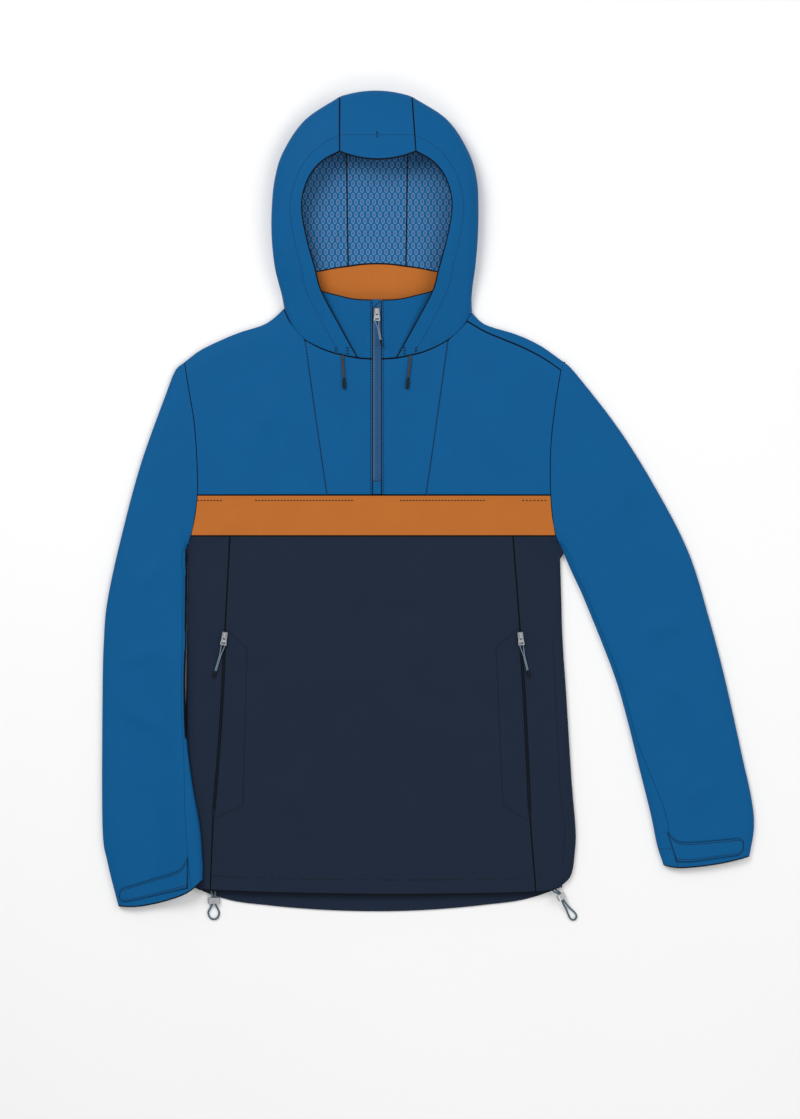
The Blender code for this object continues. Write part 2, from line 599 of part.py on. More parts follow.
class SideCurves:
    """Every sampled curve of one side of the garment, R or L."""

    def __init__(self, side):
        tables = {
            "R": (SHOULDER_R, SIDE_R, SLEEVE_OUT_R, SLEEVE_IN_R, ARMHOLE_R, NECK_R, YOKE_SEAM_R,
                  LOWER_SEAM_R, CUFF_R, HOOD_R),
            "L": (SHOULDER_L, SIDE_L, SLEEVE_OUT_L, SLEEVE_IN_L, ARMHOLE_L, NECK_L, YOKE_SEAM_L,
                  LOWER_SEAM_L, CUFF_L, HOOD_L),
        }[side]
        self.side = side
        self.sign = -1.0 if side == "R" else 1.0
        (self.shoulder, self.flank, self.sleeve_out, self.sleeve_in, armhole, neck, self.yoke_seam,
         self.lower_seam, self.cuff) = (fine(table) for table in tables[:-1])
        self.hood = tables[-1]
        sleeve_end = list(tables[4][:-1]) + [tables[3][0]]
        self.armhole, self.back_armhole = self.armhole_stations(armhole)
        self.sleeve_armhole, self.back_sleeve_armhole = self.armhole_stations(fine(sleeve_end))
        rising = neck[::-1]
        corner = length_near(rising, tables[5][2])
        total = arc_lengths(rising)[-1]
        lengths = list(NECK_STEPS) + list(np.linspace(corner, total, 5))
        self.neck = at_lengths(rising, lengths)
        lengths = [0.0] + [length_at_y(self.flank, y) for y in FLANK_LEVELS]
        self.flank_points = at_lengths(self.flank, lengths + [arc_lengths(self.flank)[-1]])
        lengths = [length_at_y(self.lower_seam, y) for y in LOWER_STATIONS]
        self.lower_points = at_lengths(self.lower_seam, lengths + [arc_lengths(self.lower_seam)[-1]])
        back = fine(BACK_NECK if side == "R" else BACK_NECK[::-1])
        seat = length_near(back, (self.sign * SEAT_X, SEAT_Y))
        self.back_neck = at_lengths(back, list(BACK_NECK_STEPS) + [seat])

    @staticmethod
    def armhole_stations(curve):
        """Front and back stations from shoulder to underarm, shared from the chest down."""
        chest, band_end = length_at_y(curve, CHEST_Y), length_at_y(curve, BAND_Y)
        total = arc_lengths(curve)[-1]
        shared = [ARMHOLE_STEPS[-1], chest, 0.5 * (chest + band_end), band_end]
        front = [*ARMHOLE_STEPS[:-1], *shared, total - NOTCH, total]
        back = [*BACK_ARMHOLE_STEPS, *shared, total]
        return at_lengths(curve, front), at_lengths(curve, back)


CURVES = {side: SideCurves(side) for side in "RL"}
RIGHT, LEFT = CURVES["R"], CURVES["L"]

BODY = Region(Outline(RIGHT.shoulder, LEFT.shoulder, RIGHT.flank, LEFT.flank, RIGHT.sleeve_out,
                      LEFT.sleeve_out, LEFT.sleeve_in), (0.0, 0.0))
SLEEVES = {
    "R": Region(Outline(RIGHT.shoulder, RIGHT.sleeve_out, RIGHT.sleeve_in), (-310.0, -150.0),
                sleeve_lift),
    "L": Region(Outline(LEFT.shoulder, LEFT.sleeve_out, LEFT.sleeve_in, LEFT.flank),
                (400.0, -150.0)),
}


# ------------------------------------------------------------------ body pieces

def forward_seam():
    """Left shoulder seam, from the armhole to the neck."""
    return fine([LEFT.armhole[FORWARD_STEP]] + FORWARD_SEAM + [LEFT.neck[FORWARD_STEP]])


def yoke_side(curves):
    """Yoke between armhole and princess seam; the left one ends at the forward shoulder seam."""
    first = FORWARD_STEP if curves.side == "L" else 0
    outer = curves.armhole[first:YOKE_END + 1][::-1]
    seam = evenly(curves.yoke_seam, YOKE_INTERVALS)[::-1]
    inner = join(seam, curves.neck[first:NECK_CORNER + 1][::-1])
    top = evenly(forward_seam() if curves.side == "L" else curves.shoulder, SHOULDER_INTERVALS)
    bottom = straight(outer[0], inner[0], np.linspace(0.0, 1.0, SHOULDER_INTERVALS + 1))
    sheet = BODY.top(coons(bottom, top, outer, inner))
    trim_sides(*sheet, ("bottom", "top", "left", "right"))
    return cloth("front_yoke_side_" + curves.side, "blue", sheet)


def yoke_centre(curves):
    """Yoke between princess seam and zip."""
    seam = evenly(curves.yoke_seam, YOKE_INTERVALS)[::-1]
    zip_x = curves.sign * ZIP_HALF
    zip_edge = straight((zip_x, CHEST_Y), (zip_x, NECK_Y), np.linspace(0.0, 1.0, YOKE_INTERVALS + 1))
    top = join(curves.neck[NECK_CORNER:], zip_edge[-1:].repeat(2, axis=0))
    bottom = straight(seam[0], zip_edge[0], fractions(top))
    sheet = BODY.top(coons(bottom, top, seam, zip_edge))
    trim_sides(*sheet, ("bottom", "top", "left"))
    return cloth("front_yoke_centre_" + curves.side, "blue", sheet)


def band():
    """Band across the chest, armhole to armhole."""
    left, right = (c.armhole[YOKE_END:BAND_END + 1][::-1] for c in (RIGHT, LEFT))
    width = right[0][0] - left[0][0]
    shares = [0.0, 12.0 / width, 28.0 / width]
    shares = np.array(shares + list(np.linspace(0.1, 0.9, 13)) + [1 - s for s in reversed(shares)])
    bottom = straight(left[0], right[0], shares)
    top = straight(left[-1], right[-1], shares)
    sheet = BODY.top(coons(bottom, top, left, right))
    trim_sides(*sheet, ("bottom", "top", "left", "right"))
    return cloth("front_band", "orange", sheet)


def slot_half(levels):
    """Half width of the pocket opening at each level, over the seam gap."""
    ramp = np.minimum((SLOT_TOP - levels) / SLOT_EASE, (levels - SLOT_BOTTOM) / SLOT_EASE)
    return HALF_GAP + SLOT_HALF * np.clip(ramp, 0.0, 1.0)


def hem_part(start_x, end_x, shares):
    """Points on the front hem between two places across it."""
    hem = fine(HEM)
    across = start_x + (end_x - start_x) * np.asarray(shares)
    return np.stack([across, np.interp(across, hem[:, 0], hem[:, 1])], axis=1)


def lower_centre():
    left, right = RIGHT.lower_points[::-1].copy(), LEFT.lower_points[::-1].copy()
    bottom = hem_part(left[0][0], right[0][0], CENTRE_SHARES)
    left[0], right[0] = bottom[0], bottom[-1]
    top = straight(left[-1], right[-1], CENTRE_SHARES)
    sheet = BODY.top(coons(bottom, top, left, right))
    trim_sides(*sheet, ("top",))
    trim_sides(*sheet, ("left",), slot_half(left[:, 1]))
    trim_sides(*sheet, ("right",), slot_half(right[:, 1]))
    return cloth("front_lower_centre", "navy", sheet)


def lower_side(curves):
    """Lower front between the pocket seam and the side fold."""
    outer = join(curves.armhole[BAND_END:], curves.flank_points)[::-1]
    inner = curves.lower_points[::-1].copy()
    bottom = hem_part(outer[0][0], inner[0][0], SIDE_HEM_SHARES)
    outer[0], inner[0] = bottom[0], bottom[-1]
    top = straight(outer[-1], inner[-1], SIDE_TOP_SHARES)
    sheet = BODY.top(coons(bottom, top, outer, inner))
    trim_sides(*sheet, ("top", "left"))
    trim_sides(*sheet, ("right",), slot_half(inner[:, 1]))
    return cloth("front_lower_side_" + curves.side, "navy", sheet)


def back_yoke():
    """Upper back on the surface, turned up at its folds and over the left shoulder."""
    left, right = (c.back_armhole[:-1][::-1] for c in (RIGHT, LEFT))
    centre = straight(RIGHT.back_neck[-1], LEFT.back_neck[-1], np.linspace(0.0, 1.0, 5))
    centre[:, 1] = np.interp(centre[:, 0], *fine(BACK_NECK).T)
    right_shoulder = evenly(RIGHT.shoulder, SHOULDER_INTERVALS)
    left_shoulder = evenly(LEFT.shoulder, SHOULDER_INTERVALS)[::-1]
    top = join(right_shoulder, RIGHT.back_neck, centre, LEFT.back_neck[::-1], left_shoulder)
    last = len(top) - 1
    bottom = straight(left[0], right[0], np.linspace(0.0, 1.0, last + 1))
    bottom[1], bottom[-2] = left[0] + (8.0, 0.0), right[0] - (8.0, 0.0)
    points, normals = BODY.bottom(coons(bottom, top, left, right))
    first = last - SHOULDER_INTERVALS
    over_neck, over_arm = LEFT.neck[:FORWARD_STEP + 1], LEFT.armhole[:FORWARD_STEP + 1]
    seam = evenly(forward_seam(), SHOULDER_INTERVALS)[::-1]
    strip = coons(left_shoulder, seam, over_neck, over_arm)
    extra_points = np.tile(points[-1:], (FORWARD_STEP, 1, 1))
    extra_normals = np.tile(normals[-1:], (FORWARD_STEP, 1, 1))
    strip_points, strip_normals = BODY.top(strip)
    extra_points[:, first:] = strip_points[1:]
    extra_normals[:, first:] = strip_normals[1:]
    rows = len(points)
    points = np.concatenate([points, extra_points])
    normals = np.concatenate([normals, extra_normals])
    active = np.ones((len(points) - 1, last), dtype=bool)
    active[rows - 1:, :first] = False
    on_top = slice(0, first + 1)
    trim(points, normals, (rows - 1, on_top), (rows - 2, on_top))
    trim(points, normals, (-1, slice(first, None)), (-2, slice(first, None)))
    trim(points, normals, (slice(rows - 1, None), first), (slice(rows - 1, None), first + 1))
    trim(points, normals, (EVERY, -1), (EVERY, -2))
    trim(points, normals, (slice(0, rows), 0), (slice(0, rows), 1))
    trim_sides(points, normals, ("bottom",))
    return cloth("back_yoke", "blue", (points, normals), active=active)


def back_lower():
    """Lower back on the surface, with the dropped tail."""
    left, right = (join(c.back_armhole[-2:], c.flank_points)[::-1].copy()
                   for c in (RIGHT, LEFT))
    tail = fine(TAIL)
    shares = np.array([0.0, 0.005, 0.017] + list(np.linspace(0.1, 0.9, 9)) + [0.983, 0.995, 1.0])
    across = left[0][0] + (right[0][0] - left[0][0]) * shares
    bottom = np.stack([across, np.interp(across, tail[:, 0], tail[:, 1])], axis=1)
    left[0], right[0] = bottom[0], bottom[-1]
    top = straight(left[-1], right[-1], shares)
    sheet = BODY.bottom(coons(bottom, top, left, right))
    trim_sides(*sheet, ("top", "left", "right"))
    return cloth("back_lower", "navy", sheet)


# ---------------------------------------------------------------------- sleeves

def turned_seam(curves):
    """Plan line of the seam that the under sleeve reaches after turning over the inner fold."""
    fold = evenly(curves.sleeve_in, 60)
    direction = np.gradient(fold, axis=0)
    direction /= np.linalg.norm(direction, axis=1, keepdims=True)
    inward = np.stack([direction[:, 1], -direction[:, 0]], axis=1)
    inward *= np.sign(curves.sign * inward[:, :1])
    share = np.linspace(0.0, 1.0, len(fold))
    turn = NOTCH + (CUFF_TURN - NOTCH) * smoothstep((share - 0.58) / 0.3)
    return fold + inward * turn[:, None]


def from_underarm(curve):
    """Stations along the sleeve's inner side, the first one just below the underarm."""
    rest = np.linspace(UNDERARM_STEP, arc_lengths(curve)[-1], SLEEVE_INTERVALS)
    return at_lengths(curve, [0.0, *rest])


def sleeve(curves):
    """Top and under sleeve: the under one turns up over the inner fold to the seam on top."""
    region = SLEEVES[curves.side]
    corner = SLEEVE_CORNERS[curves.side]
    front, back = curves.sleeve_armhole[:-1], curves.back_sleeve_armhole
    extra = len(front) - 1 - corner
    outer = evenly(curves.sleeve_out, SLEEVE_INTERVALS + extra)
    seam = from_underarm(turned_seam(curves))
    inner = from_underarm(curves.sleeve_in)
    width = arc_lengths(curves.cuff)[-1]
    flat = width - CUFF_TURN

    end = at_lengths(curves.cuff, flat * eased(flat, corner))
    seam[0], seam[-1] = front[-1], end[-1]
    outer[0], outer[-1] = front[0], end[0]
    plan = coons(front[:corner + 1], end, outer, join(front[corner:], seam), SLEEVE_SETTLE)
    points, normals = region.top(plan)
    normals[extra, -1] = normals[extra + 1, -1]
    trim_sides(points, normals, ("bottom", "left", "right"))
    cloth("sleeve_top_" + curves.side, "blue", (points, normals))

    inner[0], inner[-1] = back[-1], curves.cuff[-1]
    middle = np.linspace(0.3 * width, width - 20.0, corner - 5)
    lengths = [0.0, 2.0, 8.0, *middle, width - 8.0, width - 2.0, width]
    end = at_lengths(curves.cuff, lengths)
    plan = coons(back[:corner + 1], end, outer, join(back[corner:], inner), SLEEVE_SETTLE)
    under_points, under_normals = region.bottom(plan)
    shares = np.array([0.0, 0.1, 0.4, 1.0])
    notch = straight(curves.sleeve_armhole[-1], front[-1], shares)
    turn = at_lengths(curves.cuff, width - CUFF_TURN * shares)
    over_points, over_normals = region.top(coons(notch, turn, inner, seam))
    over_normals[0] = over_normals[1]
    under_normals[extra, -1] = (0.8 * -curves.sign, 0.0, -0.6)
    points, normals = (np.concatenate([grid, np.repeat(grid[:, -1:], 3, axis=1)], axis=1)
                       for grid in (under_points, under_normals))
    points[extra:, corner + 1:] = over_points[:, 1:]
    normals[extra:, corner + 1:] = over_normals[:, 1:]
    active = np.ones((len(points) - 1, corner + 3), dtype=bool)
    active[:extra, corner:] = False
    below, above, at_arm = slice(0, corner + 1), slice(corner, None), slice(0, extra + 1)
    trim(points, normals, (0, below), (1, below))
    if extra:
        trim(points, normals, (at_arm, corner), (at_arm, corner - 1))
    trim(points, normals, (extra, above), (extra + 1, above))
    trim(points, normals, (slice(extra, None), -1), (slice(extra, None), -2))
    trim_sides(points, normals, ("left",))
    cloth("sleeve_under_" + curves.side, "blue", (points, normals), active=active)


# ------------------------------------------------------------------------- hood

def grid_normals(points, inside):
    """Unit normals of a grid of points, turned away from an inner point."""
    normals = np.cross(np.gradient(points, axis=0), np.gradient(points, axis=1))
    normals /= np.linalg.norm(normals, axis=-1, keepdims=True)
    middle = points[points.shape[0] // 2, points.shape[1] // 2]
    outward = middle - np.asarray(inside)
    if np.dot(normals[points.shape[0] // 2, points.shape[1] // 2], outward) < 0:
        normals = -normals
    return normals


def hood_section(row):
    """One section: face edge, roll to the side fold, roll under it, and run to the seat."""
    face, fold, seat = row[0:3], row[3:6], np.array([row[6], row[7], 0.0])
    points = []
    for k in range(FOLD_STATIONS + 1):
        angle = math.radians(90.0 * (1.0 - k / FOLD_STATIONS))
        plan = fold[:2] + (face[:2] - fold[:2]) * (1.0 - math.cos(angle))
        points.append([*plan, fold[2] + (face[2] - fold[2]) * math.sin(angle)])
    toward = seat[:2] - fold[:2]
    reach = np.linalg.norm(toward)
    radius = min(UNDER + (fold[2] - EDGE) * UNDER_ROLL_SHARE, 0.9 * reach)
    for k in range(1, UNDER_STATIONS + 1):
        angle = math.radians(90.0 * k / UNDER_STATIONS)
        plan = fold[:2] + toward / reach * radius * (1.0 - math.cos(angle))
        points.append([*plan, fold[2] * (1.0 - math.sin(angle))])
    points.append(list(seat))
    return np.array(points)


def hood_grid(curves, positions):
    """Side panel sections at fractional rows of the table, eased into the neck seam."""
    rows = catmull_rom(curves.hood, positions)
    grid = np.array([hood_section(row) for row in rows])
    top_points, top_normals = BODY.top(curves.neck[::-1])
    low_points, low_normals = BODY.bottom(curves.back_neck)
    seam_points = np.concatenate([top_points, low_points[1:]])
    residue = seam_points - hood_section(np.array(curves.hood[0]))
    for i, position in enumerate(positions):
        grid[i] += residue * smoothstep(1.0 - position / NECK_BLEND)
    normals = grid_normals(grid, HOOD_HEART)
    if positions[0] == 0.0:
        normals[0] = np.concatenate([top_normals, low_normals[1:]])
    return grid, normals


def seam_line(values):
    """Values along the centre seam: over the crown, then down the floor to the first row."""
    return np.concatenate([values[-1], values[-2::-1, -1]])


def centre_grid(right, left, low_rise):
    """Centre panel between two side panels, its rows along their seams."""
    start, end = seam_line(right[0]), seam_line(left[0])
    rows = len(start)
    last_section = right[0].shape[1]
    fold = FOLD_STATIONS
    rise = np.zeros((rows, 3))
    stations = [0, fold, last_section - 1, rows - 1]
    rise[:, 1] = np.interp(range(rows), stations, [BRIM_DIP, CROWN_RISE, CROWN_RISE, low_rise])
    rise[:, 2] = np.interp(range(rows), [0, fold], [BRIM_LIFT, 0.0])
    grid = np.zeros((rows, CENTRE_INTERVALS + 1, 3))
    for j in range(CENTRE_INTERVALS + 1):
        share = j / CENTRE_INTERVALS
        grid[:, j] = start + (end - start) * share + rise * (1.0 - (2.0 * share - 1.0) ** 2)
    normals = grid_normals(grid, HOOD_HEART)
    normals[:, 0], normals[:, -1] = seam_line(right[1]), seam_line(left[1])
    return grid, normals


def hood():
    """Shell of the hood in three panels."""
    positions = np.linspace(0.0, len(HOOD_R) - 1.0, HOOD_ROWS + 1)
    panels = {side: hood_grid(CURVES[side], positions) for side in "RL"}
    centre = centre_grid(panels["R"], panels["L"], NAPE_Y - SEAT_Y)
    for side, (points, normals) in panels.items():
        trim_sides(points, normals, ("bottom", "top", "right"))
        cloth("hood_side_" + side, "blue", (points, normals))
    trim_sides(*centre, ("left", "right", "top"))
    cloth("hood_centre", "blue", centre)


def hood_lining():
    """Mesh lining inside the shell, from the neck facing up."""
    spacing = (len(HOOD_R) - 1.0) / HOOD_ROWS
    positions = np.arange(LINING_SECTION, len(HOOD_R) - 1.0 + 0.5 * spacing, spacing)
    panels = {side: hood_grid(CURVES[side], positions) for side in "RL"}
    centre = centre_grid(panels["R"], panels["L"], FACING_RISE)
    depth = WALL + UNDERLAY
    for side, (points, normals) in panels.items():
        points, normals = points[:, 1:], normals[:, 1:]
        trim_sides(points, normals, ("bottom", "top", "right"))
        cloth("hood_lining_side_" + side, "mesh", (points, normals), LINING_WALL, depth)
    points, normals = centre[0][1:], centre[1][1:]
    trim_sides(points, normals, ("left", "right", "top"))
    cloth("hood_lining_centre", "mesh", (points, normals), LINING_WALL, depth)


def back_neck_facing():
    """Facing on the hood's floor at the back of the neck."""
    seat_y = HOOD_R[int(LINING_SECTION)][7]
    shares = np.linspace(-1.0, 1.0, CENTRE_INTERVALS + 1)
    middle = np.stack([SEAT_X * shares, seat_y + FACING_RISE * (1.0 - shares ** 2)], axis=1)
    wings = [(-FACING_HALF, seat_y - 0.5), (FACING_HALF, seat_y - 0.5)]
    top = np.vstack([wings[:1], middle, wings[1:]])
    low = fine(BACK_NECK)
    bottom = np.stack([top[:, 0], np.interp(top[:, 0], low[:, 0], low[:, 1])], axis=1)
    rows = np.linspace(0.0, 1.0, 5)
    grid = coons(bottom, top, straight(bottom[0], top[0], rows), straight(bottom[-1], top[-1], rows))
    points = np.concatenate([grid, np.full((*grid.shape[:2], 1), WALL + UNDERLAY)], axis=-1)
    normals = np.zeros_like(points)
    normals[..., 2] = -1.0
    trim_sides(points, normals, ("top",))
    return cloth("back_neck_facing", "orange", (points, normals))


# ----------------------------------------------------------------- collar, zips

def collar_height(plan):
    """Level of the collar fronts: up from the neck seam, down where the hood covers them."""
    share = (plan[..., 1] - NECK_Y) / (COLLAR_TOP[-1][1] - NECK_Y)
    across = np.abs(plan[..., 0])
    drop = COLLAR_DROP * smoothstep((across - COLLAR_DROP_FROM) / COLLAR_DROP_OVER)
    sag = COLLAR_SAG * (across / COLLAR_SAG_AT) ** 2 * share
    return EDGE + LOFT + COLLAR_RISE * np.clip(share, 0.0, 1.2) - drop - sag


def collar_front(curves):
    flip = np.array([-curves.sign, 1.0])
    top = at_lengths(fine([np.array(p) * flip for p in COLLAR_TOP]), COLLAR_STATIONS_TOP)
    bottom = np.array([np.array(p) * flip for p in COLLAR_LOW])
    rows = np.linspace(0.0, 1.0, 6)
    plan = coons(bottom, top, straight(bottom[0], top[0], rows), straight(bottom[-1], top[-1], rows))
    points = np.concatenate([plan, collar_height(plan)[..., None]], axis=-1)
    normals = grid_normals(points, (0.0, 300.0, 0.0))
    trim_sides(points, normals, ("bottom",), 2.0 * HALF_GAP)
    return cloth("collar_front_" + curves.side, "blue", (points, normals))


def zip_tape():
    """Front zip: tape under both edges, with the closed coil standing in the opening."""
    levels = np.array(ZIP_LEVELS)
    offsets = np.array([-TAPE_HALF, -COIL_HALF - 0.5, -COIL_HALF, COIL_HALF, COIL_HALF + 0.5, TAPE_HALF])
    grid = np.stack(np.meshgrid(offsets, levels), axis=-1)
    on_yoke = BODY.top(grid)[0][..., 2]
    centre_line = np.stack([np.zeros_like(grid[..., 1]), grid[..., 1]], axis=-1)
    height = np.where(grid[..., 1] < NECK_Y, on_yoke, collar_height(centre_line)) - WALL - 2 * HALF_GAP
    outer = np.concatenate([grid, height[..., None]], axis=-1)
    inner = outer - (0.0, 0.0, TAPE_WALL)
    outer[:, 2:4, 2] += COIL_RISE
    return wall("zip_tape", "tape", outer, inner)


def zip_level(y):
    """Top of the front coil on the centre line."""
    plan = np.array([[0.0, y]])
    base = BODY.top(plan)[0][0, 2] if y < NECK_Y else float(collar_height(plan)[0])
    return base - WALL - 2 * HALF_GAP + COIL_RISE


def zip_patch(name, colour, corners, clearance, thickness):
    """Small flat cloth patch over the coil, four corners given bottom row first."""
    plan = np.array(corners, dtype=float).reshape(2, 2, 2)
    height = np.array([[zip_level(point[1]) + clearance for point in row] for row in plan])
    outer = np.concatenate([plan, (height + thickness)[..., None]], axis=-1)
    return wall(name, colour, outer, outer - (0.0, 0.0, thickness))


def pocket_zip(curves):
    """Pocket zip under the seam, its narrow coil standing in the opening."""
    first, last = SLOT_TOP - SLOT_EASE, SLOT_BOTTOM + SLOT_EASE
    levels = np.array([SLOT_TOP + 6.0, first, *np.linspace(first - 1.0, last + 1.0, 8), last,
                       SLOT_BOTTOM - 6.0])
    seam = at_lengths(curves.lower_seam, [length_at_y(curves.lower_seam, y) for y in levels])
    offsets = np.array([-6.0, -1.0, -0.8, 0.8, 1.0, 6.0])
    grid = seam[:, None, :] + np.stack([offsets, np.zeros(6)], axis=1)[None]
    points, normals = BODY.top(grid)
    outer = points - normals * (WALL + 2 * HALF_GAP)
    inner = outer - normals * TAPE_WALL
    rise = POCKET_COIL_RISE * ((levels < first) & (levels > last))
    outer[:, 2:4] += normals[:, 2:4] * rise[:, None, None]
    return wall("pocket_zip_" + curves.side, "trim", outer, inner)


def pocket_bag(curves):
    """Pocket bag against the inside of the centre panel."""
    levels = np.linspace(SLOT_TOP + 4.0, SLOT_BOTTOM - 4.0, 9)
    outer_side = at_lengths(curves.lower_seam, [length_at_y(curves.lower_seam, y) for y in levels])
    depth = BAG_DEPTH * smoothstep((SLOT_TOP + 18.0 - levels) / 45.0)
    depth *= smoothstep((levels - SLOT_BOTTOM + 30.0) / 45.0)
    outer_side = outer_side + (curves.sign * 3.0, 0.0)
    inner_side = outer_side - np.stack([curves.sign * (depth + 6.0), np.zeros(9)], axis=1)
    shares = np.linspace(0.0, 1.0, 5)[None, :, None]
    plan = outer_side[:, None] + (inner_side - outer_side)[:, None] * shares
    sheet = BODY.top(plan)
    below = WALL + 2 * HALF_GAP + TAPE_WALL + UNDERLAY
    return cloth("pocket_bag_" + curves.side, "navy", sheet, LINING_WALL, below)


def rest_on(names, points, normals, clearance):
    """Points moved along their normals onto finished panels, with a clearance.

    Over the gap of a seam they keep the true form.
    """
    panels = bmesh.new()
    for name in names:
        panels.from_mesh(bpy.data.objects[name].data)
    tree = BVHTree.FromBMesh(panels)
    panels.free()
    placed = points.copy()
    for index in np.ndindex(points.shape[:-1]):
        outward = Vector(normals[index])
        start = Vector(points[index] * MM) + outward * (SEARCH * MM)
        hit = tree.ray_cast(start, -outward, (SEARCH + SAG) * MM)[0]
        if hit:
            placed[index] = np.array(hit) / MM
    return placed + normals * clearance


def cuff_tab(curves):
    """Strap tab lying on the sleeve, from near its inner fold along the cuff."""
    upper, lower = (evenly(fine(CUFF_TABS[curves.side][k]), 16) for k in ("upper", "lower"))
    shares = np.linspace(0.0, 1.0, 5)
    plan = coons(lower, upper, straight(lower[0], upper[0], shares),
                 straight(lower[-1], upper[-1], shares))
    points, normals = SLEEVES[curves.side].top(plan)
    sleeve_names = ("sleeve_top_" + curves.side, "sleeve_under_" + curves.side)
    low = rest_on(sleeve_names, points, normals, TAB_CLEARANCE)
    return wall("cuff_tab_" + curves.side, "blue", low + normals * LINING_WALL, low)


# --------------------------------------------------------------------- hardware

def flat_outline(name, outlines, half_thickness):
    """2D curve data filled between closed outlines and extruded to both sides."""
    data = bpy.data.curves.new(name, "CURVE")
    data.dimensions = "2D"
    data.fill_mode = "BOTH"
    data.extrude = half_thickness * MM
    for outline in outlines:
        spline = data.splines.new("POLY")
        spline.points.add(len(outline) - 1)
        spline.points.foreach_set("co", [v for x, y in outline for v in (x * MM, y * MM, 0.0, 1.0)])
        spline.use_cyclic_u = True
    return data


def rounded(half_width, half_height, radius, centre=(0.0, 0.0), steps=3):
    """Rectangle with rounded corners, as a closed outline."""
    points = []
    for k, (sx, sy) in enumerate(((1, 1), (-1, 1), (-1, -1), (1, -1))):
        for step in range(steps + 1):
            angle = math.radians(90.0 * (k + step / steps))
            x = centre[0] + sx * (half_width - radius) + radius * math.cos(angle)
            y = centre[1] + sy * (half_height - radius) + radius * math.sin(angle)
            points.append((x, y))
    return points


def mesh_from_curve(name, data, matrix):
    """Closed mesh from curve data, its caps welded to its sides."""
    source = bpy.data.objects.new(name + "_curve", data)
    bpy.context.scene.collection.objects.link(source)
    evaluated = source.evaluated_get(bpy.context.evaluated_depsgraph_get())
    mesh = bpy.data.meshes.new_from_object(evaluated)
    bpy.data.objects.remove(source)
    body = bmesh.new()
    body.from_mesh(mesh)
    bmesh.ops.remove_doubles(body, verts=body.verts, dist=0.00002)
    body.to_mesh(mesh)
    body.free()
    mesh.transform(matrix)
    return mesh


def tube(name, colour, points, radius, resolution=2):
    """Cord along a route of points."""
    data = bpy.data.curves.new(name, "CURVE")
    data.dimensions = "3D"
    data.bevel_depth = radius * MM
    data.bevel_resolution = resolution
    data.use_fill_caps = True
    spline = data.splines.new("POLY")
    spline.points.add(len(points) - 1)
    spline.points.foreach_set("co", [v for p in points for v in (*(c * MM for c in p), 1.0)])
    return add_object(name, data, colour)


def place(item, origin, turn):
    item.location = Vector(origin) * MM
    item.rotation_euler = (0.0, 0.0, math.radians(turn))


def slider(name, origin, turn):
    """Zip slider: a block with an arch for the pull, its frame on the pull's axis."""
    half_x, low_y, high_y, low_z, top_z = SLIDER_BLOCK
    bpy.ops.mesh.primitive_cube_add(size=1.0)
    block = bpy.context.active_object
    block.name = name
    block.data.name = name
    size = Matrix.Diagonal((2 * half_x * MM, (high_y - low_y) * MM, (top_z - low_z) * MM, 1.0))
    centre = Vector((0.0, 0.5 * (low_y + high_y), 0.5 * (low_z + top_z))) * MM
    block.data.transform(Matrix.Translation(centre) @ size)
    for collection in block.users_collection:
        collection.objects.unlink(block)
    GARMENT.objects.link(block)
    block.data.materials.append(material_for("metal"))
    bevel = block.modifiers.new("rounding", "BEVEL")
    bevel.width = 0.8 * MM
    bevel.segments = 1
    outer = rounded(ARCH_OUTER, 0.5 * (ARCH_TOP - top_z + 0.4), 0.7,
                    (0.0, 0.5 * (ARCH_TOP + top_z - 0.4)), 2)
    inner = rounded(ARCH_INNER, ARCH_CLEAR, 0.4, (0.0, 0.0), 1)
    upright = Matrix.Rotation(math.radians(90), 4, "Z") @ Matrix.Rotation(math.radians(90), 4, "X")
    arch = bpy.data.objects.new(name + "_arch", mesh_from_curve(
        name + "_arch", flat_outline(name + "_arch", (outer, inner), ARCH_HALF), upright))
    CUTTERS.objects.link(arch)
    arch.hide_render = True
    arch.display_type = "WIRE"
    union = block.modifiers.new("arch", "BOOLEAN")
    union.operation = "UNION"
    union.object = arch
    place(block, origin, turn)
    place(arch, origin, turn)
    return block


def pull(name, origin, turn):
    """Tapered pull plate; its eye bar turns inside the slider's arch."""
    openings = [rounded(*values, steps=1) for values in (PULL_EYE, PULL_LOOP_SLOT)]
    data = flat_outline(name, (PULL_OUTLINE, *openings), PULL_HALF)
    mesh = mesh_from_curve(name, data, Matrix.Identity(4))
    item = add_object(name, mesh, "metal", smooth=False)
    place(item, origin, turn)
    return item


def puller(name, origin, turn, end):
    """Cord loop through the pull, its two strands run together into a moulded end."""
    end = np.array(end)
    root = np.array([0.0, PULLER_ROOT_Y, 0.0])
    heading = (end - root) / np.linalg.norm(end - root)
    stop = end - heading * (PULLER_END + 2 * HALF_GAP)
    upper, lower = [], []
    for share in PULLER_SHARES:
        opened = smoothstep(1.0 - share / PULLER_OPEN)
        spread = PULLER_TOUCH + (PULLER_SPREAD - PULLER_TOUCH) * opened
        rise = PULLER_RISE * opened
        middle = root + (stop - root) * share
        middle[2] = stop[2] * smoothstep(share)
        upper.append(middle + (-spread, 0.0, rise))
        lower.append(middle + (spread, 0.0, -0.95 * rise))
    place(tube(name, "tape", upper + PULLER_LOOP + lower[::-1], PULLER_RADIUS), origin, turn)
    moulded = [end - heading * PULLER_END, end]
    place(tube(name + "_end", "trim", moulded, PULLER_END_RADIUS), origin, turn)


def zip_set(prefix, suffix, origin, turn, end):
    """Slider, pull and cord puller of one zip."""
    slider(prefix + "_slider" + suffix, origin, turn)
    pull(prefix + "_pull" + suffix, origin, turn)
    puller(prefix + "_puller" + suffix, origin, turn, end)


